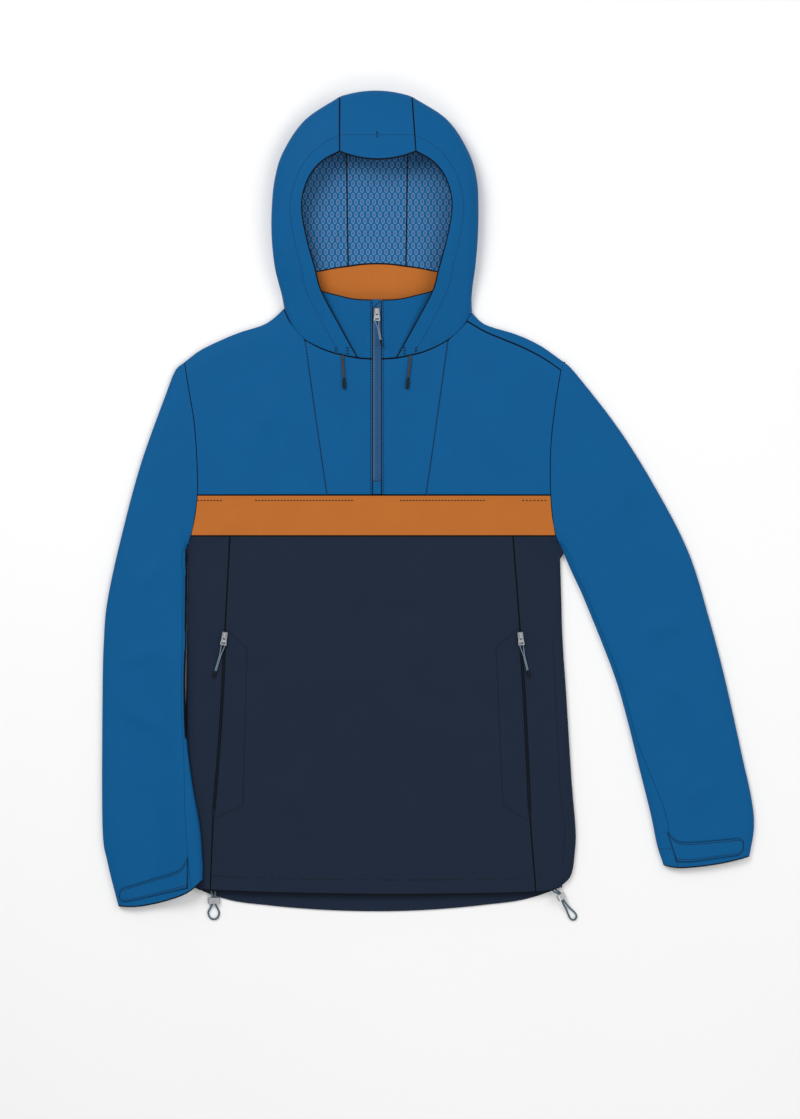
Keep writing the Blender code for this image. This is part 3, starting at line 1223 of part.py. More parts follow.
def route(points, radius):
    """Cord route: a smooth curve through chosen points, a station every few diameters."""
    curve = fine(points)
    return evenly(curve, int(arc_lengths(curve)[-1] / (4.4 * radius)))


def drawcords():
    for curves in (RIGHT, LEFT):
        name = "drawcord_" + curves.side
        cord, tip = DRAWCORDS[curves.side]
        tube(name, "trim", route(cord, DRAWCORD_RADIUS), DRAWCORD_RADIUS)
        tube("drawcord_tip_" + curves.side, "trim", tip, TIP_RADIUS)


def hem_cords():
    """Elastic loop at each side of the hem, passed through an oval stop."""
    for side, (points, centre, turn, tilt) in HEM_CORDS.items():
        tube("hem_cord_" + side, "trim", route(points, HEM_CORD_RADIUS), HEM_CORD_RADIUS)
        outer = rounded(*STOP_OUTLINE, steps=4)
        slot = rounded(*STOP_OPENING, steps=3)
        data = flat_outline("hem_cord_stop_" + side, (outer, slot), STOP_HALF_LENGTH)
        along_y = Matrix.Rotation(math.radians(90), 4, "X")
        lean = Matrix.Rotation(math.radians(tilt), 4, "Y")
        heading = Matrix.Rotation(math.radians(turn), 4, "Z")
        mesh = mesh_from_curve("hem_cord_stop_" + side, data, heading @ lean @ along_y)
        item = add_object("hem_cord_stop_" + side, mesh, "metal", smooth=False)
        item.location = Vector(centre) * MM


def build():
    for item in list(bpy.data.objects):
        bpy.data.objects.remove(item)
    for collection in (GARMENT, CUTTERS):
        bpy.context.scene.collection.children.link(collection)
    for curves in (RIGHT, LEFT):
        yoke_side(curves)
        yoke_centre(curves)
        lower_side(curves)
        sleeve(curves)
        collar_front(curves)
        pocket_zip(curves)
        pocket_bag(curves)
        cuff_tab(curves)
    band()
    lower_centre()
    back_yoke()
    back_lower()
    hood()
    hood_lining()
    back_neck_facing()
    zip_tape()
    zip_patch("zip_end_tab", "blue", END_TAB, 2 * HALF_GAP, LINING_WALL)
    zip_patch("zip_garage", "blue", GARAGE, 2 * HALF_GAP, LINING_WALL)
    base = zip_level(FRONT_PULL[1] + SLIDER_BLOCK[2]) + 2 * HALF_GAP - SLIDER_BLOCK[3]
    zip_set("zip", "", (*FRONT_PULL, base), 0.0, FRONT_PULL_END)
    for curves in (RIGHT, LEFT):
        seam = at_lengths(curves.lower_seam, [length_at_y(curves.lower_seam, POCKET_PULL_Y)])
        level = BODY.top(seam)[0][0, 2]
        base = level + OVERLAY - SLIDER_BLOCK[3]
        turn, end = POCKET_PULLS[curves.side]
        zip_set("pocket", "_" + curves.side, (*seam[0], base), turn, end)
    drawcords()
    hem_cords()


GARMENT = bpy.data.collections.new("anorak_pullover")
CUTTERS = bpy.data.collections.new("cutters")
build()
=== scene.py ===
"""Looks of the hooded half-zip anorak, laid flat and face up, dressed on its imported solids.

The frame is the solids' own: X to the wearer's left, Y from the hem to the hood, Z up.
Plan tables are in millimetres and repeat the construction's; meshes are made in metres.
R and L are the wearer's right and left.
"""

import math

import bmesh
import bpy
import numpy as np
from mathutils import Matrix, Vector
from mathutils.bvhtree import BVHTree


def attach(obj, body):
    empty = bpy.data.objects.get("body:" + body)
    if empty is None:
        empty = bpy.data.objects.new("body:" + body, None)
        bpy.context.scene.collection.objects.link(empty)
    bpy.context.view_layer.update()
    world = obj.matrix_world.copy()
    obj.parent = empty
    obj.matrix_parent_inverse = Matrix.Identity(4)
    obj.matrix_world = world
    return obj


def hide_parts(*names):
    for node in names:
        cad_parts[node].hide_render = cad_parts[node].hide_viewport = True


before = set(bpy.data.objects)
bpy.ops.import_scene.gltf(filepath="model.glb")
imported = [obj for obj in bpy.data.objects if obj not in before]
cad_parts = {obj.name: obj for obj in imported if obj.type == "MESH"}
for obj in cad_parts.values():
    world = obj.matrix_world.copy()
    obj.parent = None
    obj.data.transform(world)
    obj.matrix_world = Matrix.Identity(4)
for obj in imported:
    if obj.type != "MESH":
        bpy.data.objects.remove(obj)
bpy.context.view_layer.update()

MM = 0.001

# Image frame: the camera looks straight down and sees this much of the floor
IMAGE_PIXELS = (800, 1119)
PIXEL = 1.35  # millimetres of the garment to a pixel
IMAGE_CENTRE = (31.05, -19.6)
LENS = 100.0
SENSOR = 36.0
EYE_LEVEL = 11.0  # level of the cloth that the scale is measured at

# Fine grid
SPACING = 5.0  # longest step between stations
TAPE_SPACING = 3.0
PATCH_SPACING = 1.2
LINE_SAMPLES = 60
INNER_ROWS = ((3.0, 0.0, 0.0), (5.2, 0.0, 0.0), (7.8, 0.0, 0.0))
# Rows along a side of each finish: distance from it, share of its dark line of painted shade, dip of the
# cloth
FINISHES = {
    "seam": ((0.0, 1.0, 0.6), (0.75, 1.0, 0.2), (1.2, 0.0, 0.1), *INNER_ROWS),
    "plain": ((0.0, 0.0, 0.3), (0.5, 0.0, 0.1), (1.1, 0.0, 0.0), *INNER_ROWS),
    "free": ((0.0, 0.0, 0.2), (0.5, 0.0, 0.05), (1.1, 0.0, 0.0), *INNER_ROWS),
    "lined": ((0.0, 1.0, 0.4), (1.7, 1.0, 0.05), (2.1, 0.0, 0.0), *INNER_ROWS),
}
EDGE_SAMPLES = 25  # stations walked along a line to place a finish's rows
EDGE_MARGIN = 2.0  # least distance from a finish's last row to the grid's next one
EDGE_SQUEEZE = 0.7  # share of a short stretch that a finish's rows may take
LINE_ROWS = 3  # rows that a dark line of painted shade may reach
LINE_OVERLAP = 1.0  # the princess seam's painted shade line starts this far under the neck's corner
FOLD_REACH = 8.0  # a side this close to a fold is laid exactly on it
ON_END = 0.001  # and isn't if the nearest point is this close to the fold's end
CORNER = math.cos(math.radians(30))  # a line that turns more than this keeps its corner
SHARP_ANGLE = math.radians(50)
STITCH_SAMPLES = 24
TAB_ROWS = 18
TAB_COLUMNS = 40
TAB_RIM_DIP = 0.25
TAB_STITCH_ROWS = (2, -3)
SIDE_LINE_ENDS = {"R": -260.0, "L": 0.0}  # the armhole's painted shade line runs down to this level
FOLD_SHADE_WIDTH = 2.0  # painted shade along the right sleeve's fold, where it lies against the body
FOLD_SHADE_LEVELS = (-260.0, -4.0)

# Walls, clearances and flat-laid form, as in the construction
WALL = 1.5  # shell cloth with its turned edges
LINING_WALL = 1.0
TAPE_WALL = 1.0
HALF_GAP = 0.15  # half of the gap between two pieces at a seam
UNDERLAY = 0.8  # clearance of a piece that lies under another
OVERLAY = 0.7  # clearance of a piece that lies on another
TAB_CLEARANCE = 0.6  # clearance of a cuff tab, which bends over the sleeve's seam
EDGE = 4.0  # level of a side fold
LOFT = 7.0  # rise from a side fold to the flat of the front
ROLL = 20.0  # width of that rise
UNDER = 6.0  # the underside touches down this far in from a side fold
ROLL_ANGLES = (0, 24, 46, 68, 90)  # stations round the roll of a fold
EASE_POWER = 1.5
SOFT_START = 0.15  # share of the roll that the soft folds keep clear
CHEST_Y = 67.5  # yoke to band
BAND_Y = 12.2  # band to lower front, and back yoke to lower back
ZIP_HALF = 6.8  # half of the opening that shows the zip
TAPE_HALF = 10.5
COIL_HALF = 3.0
NAPE_Y = 300.0
NECK_Y = 251.2  # neck seam at the centre front
# Plan lines, from the top down or from the centre out
SHOULDER_R = [(-260.6, 247.1), (-239.0, 263.2), (-212.0, 276.5), (-185.0, 287.6), (-155.2, 297.0),
              (-139.0, 307.0), (-125.6, 320.0)]
SHOULDER_L = [(251.1, 248.4), (220.1, 270.0), (187.7, 284.9), (152.6, 295.5), (139.0, 303.0),
              (128.2, 314.6)]
SIDE_R = [(-256.5, 0.0), (-256.6, -60.0), (-257.2, -128.2), (-258.5, -209.2), (-263.2, -317.2),
          (-268.2, -384.8), (-267.3, -411.8), (-262.5, -445.0), (-247.1, -463.1)]
SIDE_L = [(247.1, 0.0), (249.0, -60.0), (251.1, -128.2), (256.5, -209.2), (263.2, -317.2),
          (268.7, -384.8), (267.8, -415.0), (262.5, -447.0), (247.1, -463.1)]
SLEEVE_OUT_R = [(-260.6, 247.1), (-272.7, 236.3), (-286.2, 202.5), (-320.0, 108.0), (-347.0, 6.8),
                (-364.5, -74.2), (-369.5, -128.2), (-371.4, -209.2), (-371.4, -379.4),
                (-364.5, -429.3), (-349.7, -488.7)]
SLEEVE_IN_R = [(-256.8, 0.0), (-257.0, -60.0), (-257.6, -128.2), (-258.7, -195.0), (-256.5, -263.2),
               (-248.4, -325.4), (-239.0, -378.0), (-235.4, -423.9), (-234.9, -452.3)]
SLEEVE_OUT_L = [(251.1, 248.4), (267.3, 233.6), (328.1, 155.2), (382.1, 67.5), (422.6, -13.5),
                (449.6, -101.2), (470.8, -182.2), (494.8, -290.0), (506.6, -344.2), (509.8, -382.1),
                (503.6, -421.2)]
SLEEVE_IN_L = [(247.6, 0.0), (263.5, -37.0), (280.5, -74.2), (317.2, -166.1), (334.8, -222.8),
               (355.1, -303.8), (370.2, -364.5), (378.5, -405.0), (387.5, -433.4)]
ARMHOLE_R = [(-260.6, 247.1), (-253.5, 203.0), (-247.1, 163.4), (-243.5, 112.1), (-243.0, 67.5),
             (-246.2, 40.0), (-251.9, 12.2), (-256.5, 0.0)]
ARMHOLE_L = [(251.1, 248.4), (245.8, 218.0), (240.0, 180.0), (234.9, 128.2), (234.9, 66.2),
             (237.2, 40.0), (241.9, 12.2), (247.1, 0.0)]
NECK_R = [(-25.7, 252.5), (-62.0, 260.5), (-97.2, 276.8), (-115.5, 297.5), (-125.6, 320.0)]
NECK_L = [(25.7, 252.5), (62.0, 260.5), (95.9, 276.8), (117.0, 296.0), (128.2, 314.6)]
YOKE_SEAM_R = [(-97.2, 276.8), (-82.6, 172.0), (-67.5, CHEST_Y)]
YOKE_SEAM_L = [(95.9, 276.8), (81.2, 172.0), (66.2, CHEST_Y)]
LOWER_SEAM_R = [(-198.5, BAND_Y), (-205.2, -114.8), (-209.2, -209.2), (-215.5, -300.0),
                (-221.4, -371.2), (-225.5, -467.0)]
LOWER_SEAM_L = [(183.6, BAND_Y), (193.1, -114.8), (199.0, -209.2), (203.5, -300.0),
                (207.0, -371.2), (214.7, -469.5)]
HEM = [(-247.1, -463.1), (-225.5, -467.0), (-110.0, -471.0), (0.0, -472.5), (110.0, -472.0),
       (214.7, -469.5), (247.1, -463.1)]
TAIL = [(-247.1, -463.1), (-205.2, -479.3), (-104.0, -491.5), (0.0, -495.5), (98.6, -491.5),
        (206.6, -478.2), (247.1, -463.1)]
CUFF_R = [(-349.7, -488.7), (-320.0, -488.5), (-285.0, -480.5), (-254.5, -468.5), (-234.9, -452.3)]
CUFF_L = [(503.6, -421.2), (470.0, -429.5), (436.1, -434.7), (406.0, -436.5), (387.5, -433.4)]
SEAT_X = 39.0  # the hood's side and centre panels meet here on the back neck
SEAT_Y = 301.0
BACK_NECK = [(-125.6, 320.0), (-98.0, 309.5), (-70.0, 304.0), (-SEAT_X, SEAT_Y), (0.0, NAPE_Y),
             (SEAT_X, SEAT_Y), (70.0, 304.0), (99.0, 308.5), (128.2, 314.6)]
ARMHOLE_STEPS = (0.0, 4.0, 13.0, 26.0, 45.0, 75.0, 105.0, 135.0, 160.0)
FORWARD_STEP = 2  # the left shoulder seam meets the armhole and the neck at this station
BACK_ARMHOLE_STEPS = (0.0, 2.0, 8.0, 26.0, 45.0, 75.0, 105.0, 135.0)
YOKE_INTERVALS = 6
BAND_STEPS = (0.0, 12.0, 28.0)  # first columns of the band, from each end
BAND_SHARES = np.linspace(0.1, 0.9, 13)
LOWER_COLUMNS = 9
SIDE_HEM_SHARES = (0.0, 0.08, 0.3, 0.65, 1.0)
SIDE_TOP_SHARES = (0.0, 0.07, 0.24, 0.6, 1.0)
TAIL_SHARES = np.array([0.0, 0.005, 0.017, *np.linspace(0.1, 0.9, 9), 0.983, 0.995, 1.0])
BACK_STEP = 8.0  # first column of the back yoke's lower edge
YOKE_END = len(ARMHOLE_STEPS)  # armhole station at the bottom of the yoke
BAND_END = YOKE_END + 2
SLEEVE_CORNERS = {"R": 8, "L": 12}  # armhole station where the sleeve's inner side starts
SLEEVE_SETTLE = 0.2  # share of the sleeve over which its columns take their even spacing
NECK_STEPS = (0.0, 5.0, 14.0)
NECK_CORNER = len(NECK_STEPS)  # neck station at the princess seam
BACK_NECK_STEPS = (0.0, 2.0, 8.0, 45.0)
NOTCH = 5.0  # the under sleeve turns up this far over the fold at the underarm
CUFF_TURN = 19.5  # and this far at the cuff
NOTCH_SHARES = np.array([0.0, 0.1, 0.4, 1.0])
TURN_WIDENS = (0.58, 0.3)  # where on the sleeve the turn starts to widen, and over how much of it
CUFF_STEPS = (0.0, 2.0, 8.0)  # first stations round the cuff, from each fold
CUFF_MIDDLE = (0.3, 20.0)  # where the others start, as a share, and stop short of the inner fold
UNDERARM_STEP = 8.0
LOWER_STATIONS = (BAND_Y, 2.0, -40.0, -80.0, -112.0, -127.0, -190.0, -250.0, -310.0, -357.0,
                  -372.0, -420.0)
# Sections of the hood from the neck up: x, y and z of the face edge and of the side fold, and x
# and y of the seat on the floor
HOOD_R = [
    (-25.7, 252.5, 11.0, -125.6, 320.0, 4.0, -39.0, 301.0),
    (-50.5, 297.0, 18.0, -128.5, 337.0, 9.0, -39.0, 320.0),
    (-74.2, 341.6, 25.0, -133.5, 356.0, 14.0, -39.0, 347.0),
    (-82.4, 371.2, 30.0, -138.0, 376.0, 17.0, -39.0, 377.0),
    (-93.0, 410.0, 34.0, -141.8, 412.0, 19.0, -39.5, 408.0),
    (-99.9, 445.5, 37.0, -141.9, 452.0, 20.0, -40.0, 444.0),
    (-98.5, 471.0, 39.0, -137.7, 492.8, 21.0, -40.5, 482.0),
    (-88.5, 496.0, 41.0, -126.0, 530.0, 22.0, -41.0, 512.0),
    (-72.0, 514.5, 43.0, -97.0, 572.0, 23.0, -42.0, 537.0),
    (-50.0, 526.5, 45.0, -50.0, 603.5, 24.0, -43.0, 557.0),
]
HOOD_L = [
    (25.7, 252.5, 11.0, 128.2, 314.6, 4.0, 39.0, 301.0),
    (50.5, 297.0, 18.0, 127.8, 334.0, 9.0, 39.0, 320.0),
    (74.2, 341.6, 25.0, 129.8, 355.0, 14.0, 39.0, 347.0),
    (82.4, 371.2, 30.0, 132.8, 376.0, 17.0, 39.0, 377.0),
    (93.0, 410.0, 34.0, 135.8, 412.0, 19.0, 39.5, 408.0),
    (99.9, 445.5, 37.0, 136.8, 452.0, 20.0, 40.0, 444.0),
    (98.8, 471.0, 39.0, 134.5, 493.0, 21.0, 40.5, 482.0),
    (89.5, 496.0, 41.0, 122.0, 532.0, 22.0, 41.0, 512.0),
    (73.5, 514.5, 43.0, 94.0, 573.0, 23.0, 42.0, 537.0),
    (52.7, 526.5, 45.0, 47.2, 603.5, 24.0, 43.0, 557.0),
]
FOLD_STATIONS = 7  # from the face edge to the side fold, shared with the neck seam
UNDER_STATIONS = 3
NECK_BLEND = 2.5  # sections over which the hood takes the shape of the neck seam
BRIM_DIP = -10.8
CROWN_RISE = 8.1
BRIM_LIFT = 2.0
LINING_SECTION = 3.0  # the lining starts at this section of the hood
UNDER_ROLL_SHARE = 0.8  # growth of the hood's under roll with the height of its fold
UNDER_ROLL_MOST = 0.9  # most of the run to the seat that the under roll takes
HOOD_OUTWARD_Z = 0.3
CENTRE_OUTWARD = (0.0, 0.3, -1.0)
CENTRE_INTERVALS = 4
FACING_RISE = 3.5
FACING_HALF = 95.0
FACING_WING = np.array([50.0, 62.0, 78.0, FACING_HALF])
FACING_ROWS = 5
FACING_BLEND = 12.0  # rows over which the lining leaves the facing's fall
COLLAR_ROWS = 6
SHOULDER_INTERVALS = 5
FLANK_LEVELS = (-50.0, -100.0, -150.0, -205.0, -260.0, -315.0, -365.0, -405.0, -440.0)
SLEEVE_INTERVALS = 14
FORWARD_SEAM = [(216.0, 257.5), (183.0, 272.5), (141.0, 290.5)]
SLOT_TOP = -112.0
SLOT_BOTTOM = -372.0
SLOT_EASE = 15.0
SLOT_HALF = 1.2
POCKET_TAPE_OFFSETS = np.array([-6.0, -1.3, -0.8, 0.0, 0.8, 1.3, 6.0])
POCKET_TAPE_PAST = 6.0  # the tape runs this far past the opening
POCKET_TAPE_LEVELS = 40
POCKET_COIL_LIFT = 0.85
BAG_DEPTH = 30.0
BAG_PAST = 4.0
BAG_LEVELS = 9
BAG_COLUMNS = 5
BAG_OUTSIDE = 3.0  # the bag reaches this far outside the pocket seam
BAG_BASE = 6.0  # and this far inside it at its ends
BAG_SLOPE = 45.0
BAG_SLOPE_STARTS = (18.0, 30.0)  # where its corners' slopes start, above and below the opening
COLLAR_TOP = [(-6.8, 331.0), (-29.7, 332.1), (-74.2, 342.9), (-92.0, 349.5)]
COLLAR_LOW = [(-6.8, 251.2), (-12.0, 251.5), (-25.7, 252.7), (-33.0, 254.3), (-39.0, 255.6),
              (-45.0, 257.2)]
COLLAR_STATIONS_TOP = (0.0, 6.0, 26.0, 48.0, 67.0, 86.0)
COLLAR_RISE = 9.0
COLLAR_DROP = 2.6
COLLAR_DROP_FROM = 13.0  # distance from the centre line where the drop starts
COLLAR_DROP_OVER = 11.0
COLLAR_SAG = 4.0  # further drop of its top at this distance from the centre line
COLLAR_SAG_AT = 90.0
COLLAR_SHARE_MOST = 1.2  # the rise goes on to this share of its height
ZIP_LEVELS = (69.0, 86.0, 130.0, 170.0, 210.0, NECK_Y, 290.0, 329.5)
COIL_RISE = 1.6
PATCH_CROWN = 0.15
END_TAB = [(-5.9, 68.4), (5.9, 68.4), (-5.9, 86.4), (5.9, 86.4)]
GARAGE = [(-6.3, 320.4), (-5.3, 320.4), (-6.3, 331.0), (6.8, 331.0)]
SLIDER_BLOCK = (3.75, -4.9, 4.6, -4.0, -1.6)  # half width, low and high y, bottom and top z
PULLER_RADIUS = 0.6
PULLER_ROOT_Y = -13.8  # where the cord's two strands leave the pull
PULLER_SHARES = (1.0, 0.8, 0.6, 0.42, 0.28, 0.14, 0.0)  # stations from the moulded end to the root
PULLER_OPEN = 0.42  # share of the way over which the strands open to pass the pull
PULLER_TOUCH = 0.78  # half of the distance between the strands where they run together
PULLER_SPREAD = 2.2
PULLER_RISE = 1.7
PULLER_LOOP = [(-1.9, -12.4, 1.75), (-1.0, -10.9, 1.0), (-0.45, -10.6, 0.4), (0.45, -10.6, -0.4),
               (1.0, -10.9, -1.0), (1.9, -12.4, -1.7)]
PULLER_END = 9.0
PULLER_END_RADIUS = 1.5
FRONT_PULL = (0.0, 315.0)
FRONT_PULL_END = (6.8, -47.7, -2.2)
POCKET_PULL_Y = -122.0
POCKET_PULLS = {"R": (-8.0, (-7.0, -58.4, -2.4)), "L": (6.0, (5.9, -57.1, -2.4))}
# Cord routes, from where each leaves the cloth; a drawcord's second line is its tip's
DRAWCORD_RADIUS = 1.6
TIP_RADIUS = 2.1
DRAWCORDS = {
    "R": ([(-45.9, 256.0, 13.4), (-46.2, 250.0, 13.4), (-45.6, 241.0, 13.4), (-44.9, 232.0, 13.4),
           (-44.6, 225.3, 13.5)],
          [(-44.5, 224.9, 13.9), (-43.9, 210.6, 13.9)]),
    "L": ([(44.6, 256.0, 13.4), (44.9, 250.0, 13.4), (43.9, 241.0, 13.4), (42.6, 232.0, 13.4),
           (42.0, 225.3, 13.5)],
          [(41.9, 224.9, 13.9), (40.5, 210.6, 13.9)]),
}
HEM_CORD_RADIUS = 1.25
HEM_CORDS = {
    "R": [(-225.5, -461.0, 7.8), (-224.0, -468.0, 5.6), (-222.6, -474.5, 3.6), (-222.5, -478.0, 3.4),
          (-222.5, -482.0, 3.3), (-222.7, -485.8, 3.1), (-225.4, -491.0, 1.9), (-228.3, -496.5, 1.4),
          (-227.4, -501.8, 1.4), (-224.6, -505.3, 1.4), (-220.9, -506.4, 1.4), (-217.0, -505.4, 1.4),
          (-214.4, -501.8, 1.4), (-213.6, -496.5, 1.4), (-216.2, -491.0, 1.9), (-218.8, -485.8, 3.1),
          (-218.9, -482.0, 3.3), (-218.9, -478.0, 3.4), (-218.8, -474.5, 3.6), (-219.0, -468.0, 5.6),
          (-219.5, -461.0, 7.8)],
    "L": [(233.2, -454.0, 4.2), (237.9, -461.4, 4.2), (242.7, -466.6, 5.5), (247.4, -470.0, 7.5),
          (249.4, -474.6, 7.5), (251.5, -479.2, 7.4), (255.9, -485.4, 4.8), (261.2, -491.4, 2.6),
          (265.7, -495.7, 1.6), (269.2, -499.9, 1.4), (269.8, -503.5, 1.4), (267.6, -506.6, 1.4),
          (264.0, -507.2, 1.4), (261.0, -504.7, 1.4), (258.3, -499.0, 1.6), (255.6, -492.4, 3.6),
          (252.4, -486.4, 7.2), (249.6, -480.0, 10.3), (247.6, -475.4, 10.5), (245.5, -470.9, 10.4),
          (240.0, -468.6, 7.9), (234.6, -464.4, 5.9), (229.0, -458.5, 5.6)],
}
SEARCH = 10.0  # height over a panel from which what lies on it is set down
SAG = 1.5  # depth of the panel's flat facets under its true form, at most
# Plan lines of the cuff tabs' long edges, from the inner fold outward
CUFF_TABS = {
    "R": {"upper": [(-254.7, -420.5), (-262.0, -434.5), (-272.0, -441.0), (-300.0, -450.0),
                    (-330.0, -459.5), (-343.0, -463.4), (-346.6, -467.0)],
          "lower": [(-254.7, -462.0), (-270.0, -465.5), (-290.0, -470.6), (-310.0, -475.5),
                    (-330.0, -480.0), (-343.5, -481.4), (-348.2, -476.0)]},
    "L": {"upper": [(391.5, -386.5), (400.0, -396.0), (412.0, -401.4), (436.0, -400.4),
                    (465.0, -398.0), (487.4, -396.2), (494.5, -399.5)],
          "lower": [(404.5, -427.5), (420.0, -428.0), (436.0, -426.4), (455.0, -423.6),
                    (475.0, -420.8), (489.0, -418.3), (494.8, -411.0)]},
}
# Soft folds: x, y, direction in degrees, length, width and rise
FOLDS = [
    (-150.0, 170.0, 62.0, 150.0, 17.0, 3.0),
    (150.0, 150.0, 118.0, 150.0, 17.0, 3.0),
    (-215.0, 20.0, 25.0, 130.0, 15.0, 3.2),
    (215.0, 12.0, 152.0, 140.0, 15.0, 3.4),
    (-60.0, -180.0, 12.0, 190.0, 22.0, 2.6),
    (90.0, -250.0, 166.0, 210.0, 24.0, 2.6),
    (-120.0, -340.0, 158.0, 170.0, 20.0, 2.4),
    (30.0, -90.0, 8.0, 200.0, 20.0, -2.2),
    (-305.0, -40.0, 55.0, 90.0, 12.0, 3.2),
    (-318.0, -150.0, 20.0, 85.0, 12.0, 3.4),
    (-315.0, -235.0, 155.0, 85.0, 11.0, 3.0),
    (330.0, 60.0, 70.0, 110.0, 13.0, 3.0),
    (385.0, -110.0, 15.0, 100.0, 13.0, 3.6),
    (405.0, -200.0, 150.0, 95.0, 12.0, 3.2),
    (440.0, -330.0, 20.0, 90.0, 12.0, 2.6),
]
# Rise of the right sleeve over the body's side: its height, and the stretches over which it builds
LIFT_HEIGHT = EDGE + LOFT + 2.2
LIFT_BEFORE = 46.0
LIFT_AFTER = 24.0
LIFT_START_Y = -60.0
LIFT_FULL_Y = -215.0

# Looks
BLUE = (0.0015, 0.094, 0.262)
ORANGE = (0.475, 0.142, 0.024)
NAVY = (0.010, 0.019, 0.040)
# painted shade: near-black, laid along seams, free edges and rims
PAINTED_SHADE = (0.002, 0.003, 0.005)
TAPE_BLUE = (0.010, 0.085, 0.235)
TAPE_EDGE = (0.060, 0.105, 0.185)
TEETH_BLUE = (0.022, 0.095, 0.225)
TAPE_STRIP = 3.2  # the front tape is greyer from here on the wearer's right
TAPE_SHADE = 5.3  # and painted shade from here to its opening's edges
RING_COLOUR = (0.110, 0.245, 0.430)
RING_CENTRE = (0.045, 0.125, 0.290)
WEAVE = 0.0012  # metres between yarns
TAPE_RIB = 0.0011
METAL_TONES = ((0.42, 0.43, 0.45), (0.66, 0.67, 0.69))
RING_PITCH = (0.00813, 0.01686)
RING_HALF = (0.0028, 0.0046)
RING_MIDDLE = 0.78
RING_WIDTH = 0.20
METAL_NODES = ("zip_slider", "zip_pull", "pocket_slider_R", "pocket_slider_L", "pocket_pull_R",
               "pocket_pull_L", "hem_cord_stop_R", "hem_cord_stop_L")

# Fine modelling, in millimetres
HOOD_FINE = 8  # rows of the hood's fine grid in one section of its table
CENTRE_FINE = 18
ROD_SIDES = 6
ROD_RINGS = ((-1.0, 0.45), (-0.75, 0.95), (0.75, 0.95), (1.0, 0.45))
BRAID_PITCH = 7.0
COIL_BED = 0.9  # the tape rises this much under its teeth
COIL_BED_EDGE = (0.5, 0.8)  # where that rise ends outside the teeth, and over what width
FRONT_TEETH = (COIL_HALF, 0.55, 2.6)  # half width, radius and pitch of the teeth
POCKET_TEETH_SIZE = (1.0, 0.42, 2.0)
SEAM_LIFT = 0.12  # thread above the cloth
STITCH_HALF = 0.4  # share of a stitch from its middle to the points that its heading is taken at
LOW_TOOTH = 84.0
TOP_TOOTH_CLEARANCE = 2.0  # from the last tooth to the garage
FACING_REACH = 80.5  # the facing's upper edge falls this far from the centre
FACING_FALL = 9.3
FACING_FALL_MOST = 0.8
CORD_POINTS = 60
CORD_TUBE = {"sides": 24, "step": 0.5, "relief": 0.08, "strands": 6}
PULLER_TUBE = {"sides": 12, "step": 0.5, "relief": 0.12, "strands": 3}
TIP_TUBE = {"sides": 24, "step": 0.4}
GRIP_TUBE = {"sides": 20, "step": 0.35}
PULLER_UNDER = 0.95  # depth of the lower strand against the upper one's height

# Stitching, in plan
ZIP_STITCH_X = 8.85
BAND_STITCH_Y = 60.1
BAND_STITCHES = [(-243.0, -209.3), (-164.7, -32.4), (31.0, 145.8), (195.8, 229.0)]
HEM_STITCH_RISE = 20.5
HEM_STITCHES = [(-221.4, -176.9), (-166.0, -151.2), (-143.1, -131.0), (-122.9, -109.4),
                (-102.6, -45.9), (-29.7, -13.5), (4.1, 27.0), (39.2, 114.8), (136.4, 159.3),
                (172.8, 197.1), (218.7, 226.0)]
BAG_STITCHES = [[(-205.2, -112.0), (-175.5, -139.0), (-180.9, -351.0), (-221.4, -371.3)],
                [(190.4, -112.0), (160.7, -139.0), (170.1, -351.0), (206.6, -374.0)]]
SIDE_STITCH = [(237.6, -128.3), (247.1, -330.8), (253.8, -384.8), (251.1, -428.0)]
CUFF_STITCH = [(381.4, -410.4), (396.0, -410.4)]
# The tunnel's stitching from the face edge, by section of the hood's table
TUNNEL = (23.5, 23.5, 22.0, 19.5, 18.0, 17.0, 16.0, 17.0, 19.0, 23.0)
BARTACKS = (-55.4, -39.7, 37.1, 52.7)
BARTACK_LEVELS = (266.0, 262.2, 258.4)
BARTACK_HALF = 1.8
CROWN_TACK_HALF = 4.5
CROWN_TACK_SAMPLES = 5

# Studio, in metres and watts
FLOOR_HALF = 4.0
FLOOR_TONES = ((0.91, 0.91, 0.91), (0.93, 0.93, 0.93))
FLOOR_Z = -0.0005
WORLD_STRENGTH = 0.45
# Name, place, diameter and power of each light
LIGHTS = (("key", (-1.2, 1.5, 2.4), 1.6, 44.0), ("fill", (1.8, 0.6, 2.2), 1.8, 20.0),
          ("low", (0.3, -2.0, 2.4), 1.8, 17.0))


# ---------------------------------------------------------------- plan curves

def arc_lengths(points):
    """Running length along a polyline."""
    steps = np.linalg.norm(np.diff(points, axis=0), axis=1)
    return np.concatenate([[0.0], np.cumsum(steps)])


def catmull_rom(points, positions):
    """Values of a Catmull-Rom curve through rows of points at fractional row positions."""
    rows = np.asarray(points, dtype=float)
    padded = np.vstack([2 * rows[0] - rows[1], rows, 2 * rows[-1] - rows[-2]])
    positions = np.clip(np.asarray(positions, dtype=float), 0.0, len(rows) - 1.0)
    index = np.minimum(positions.astype(int), len(rows) - 2)
    t = (positions - index)[:, None]
    before, start, end, after = (padded[index + k] for k in range(4))
    return 0.5 * (2 * start + (end - before) * t
                  + (2 * before - 5 * start + 4 * end - after) * t ** 2
                  + (3 * start - before - 3 * end + after) * t ** 3)


def fine(points, per_span=12):
    """Dense polyline along the smooth curve through points."""
    count = (len(points) - 1) * per_span + 1
    return catmull_rom(points, np.linspace(0.0, len(points) - 1.0, count))


def at_lengths(curve, lengths):
    """Points of a dense polyline at given lengths from its start."""
    along = arc_lengths(curve)
    return np.stack([np.interp(lengths, along, curve[:, k]) for k in range(curve.shape[1])], axis=1)


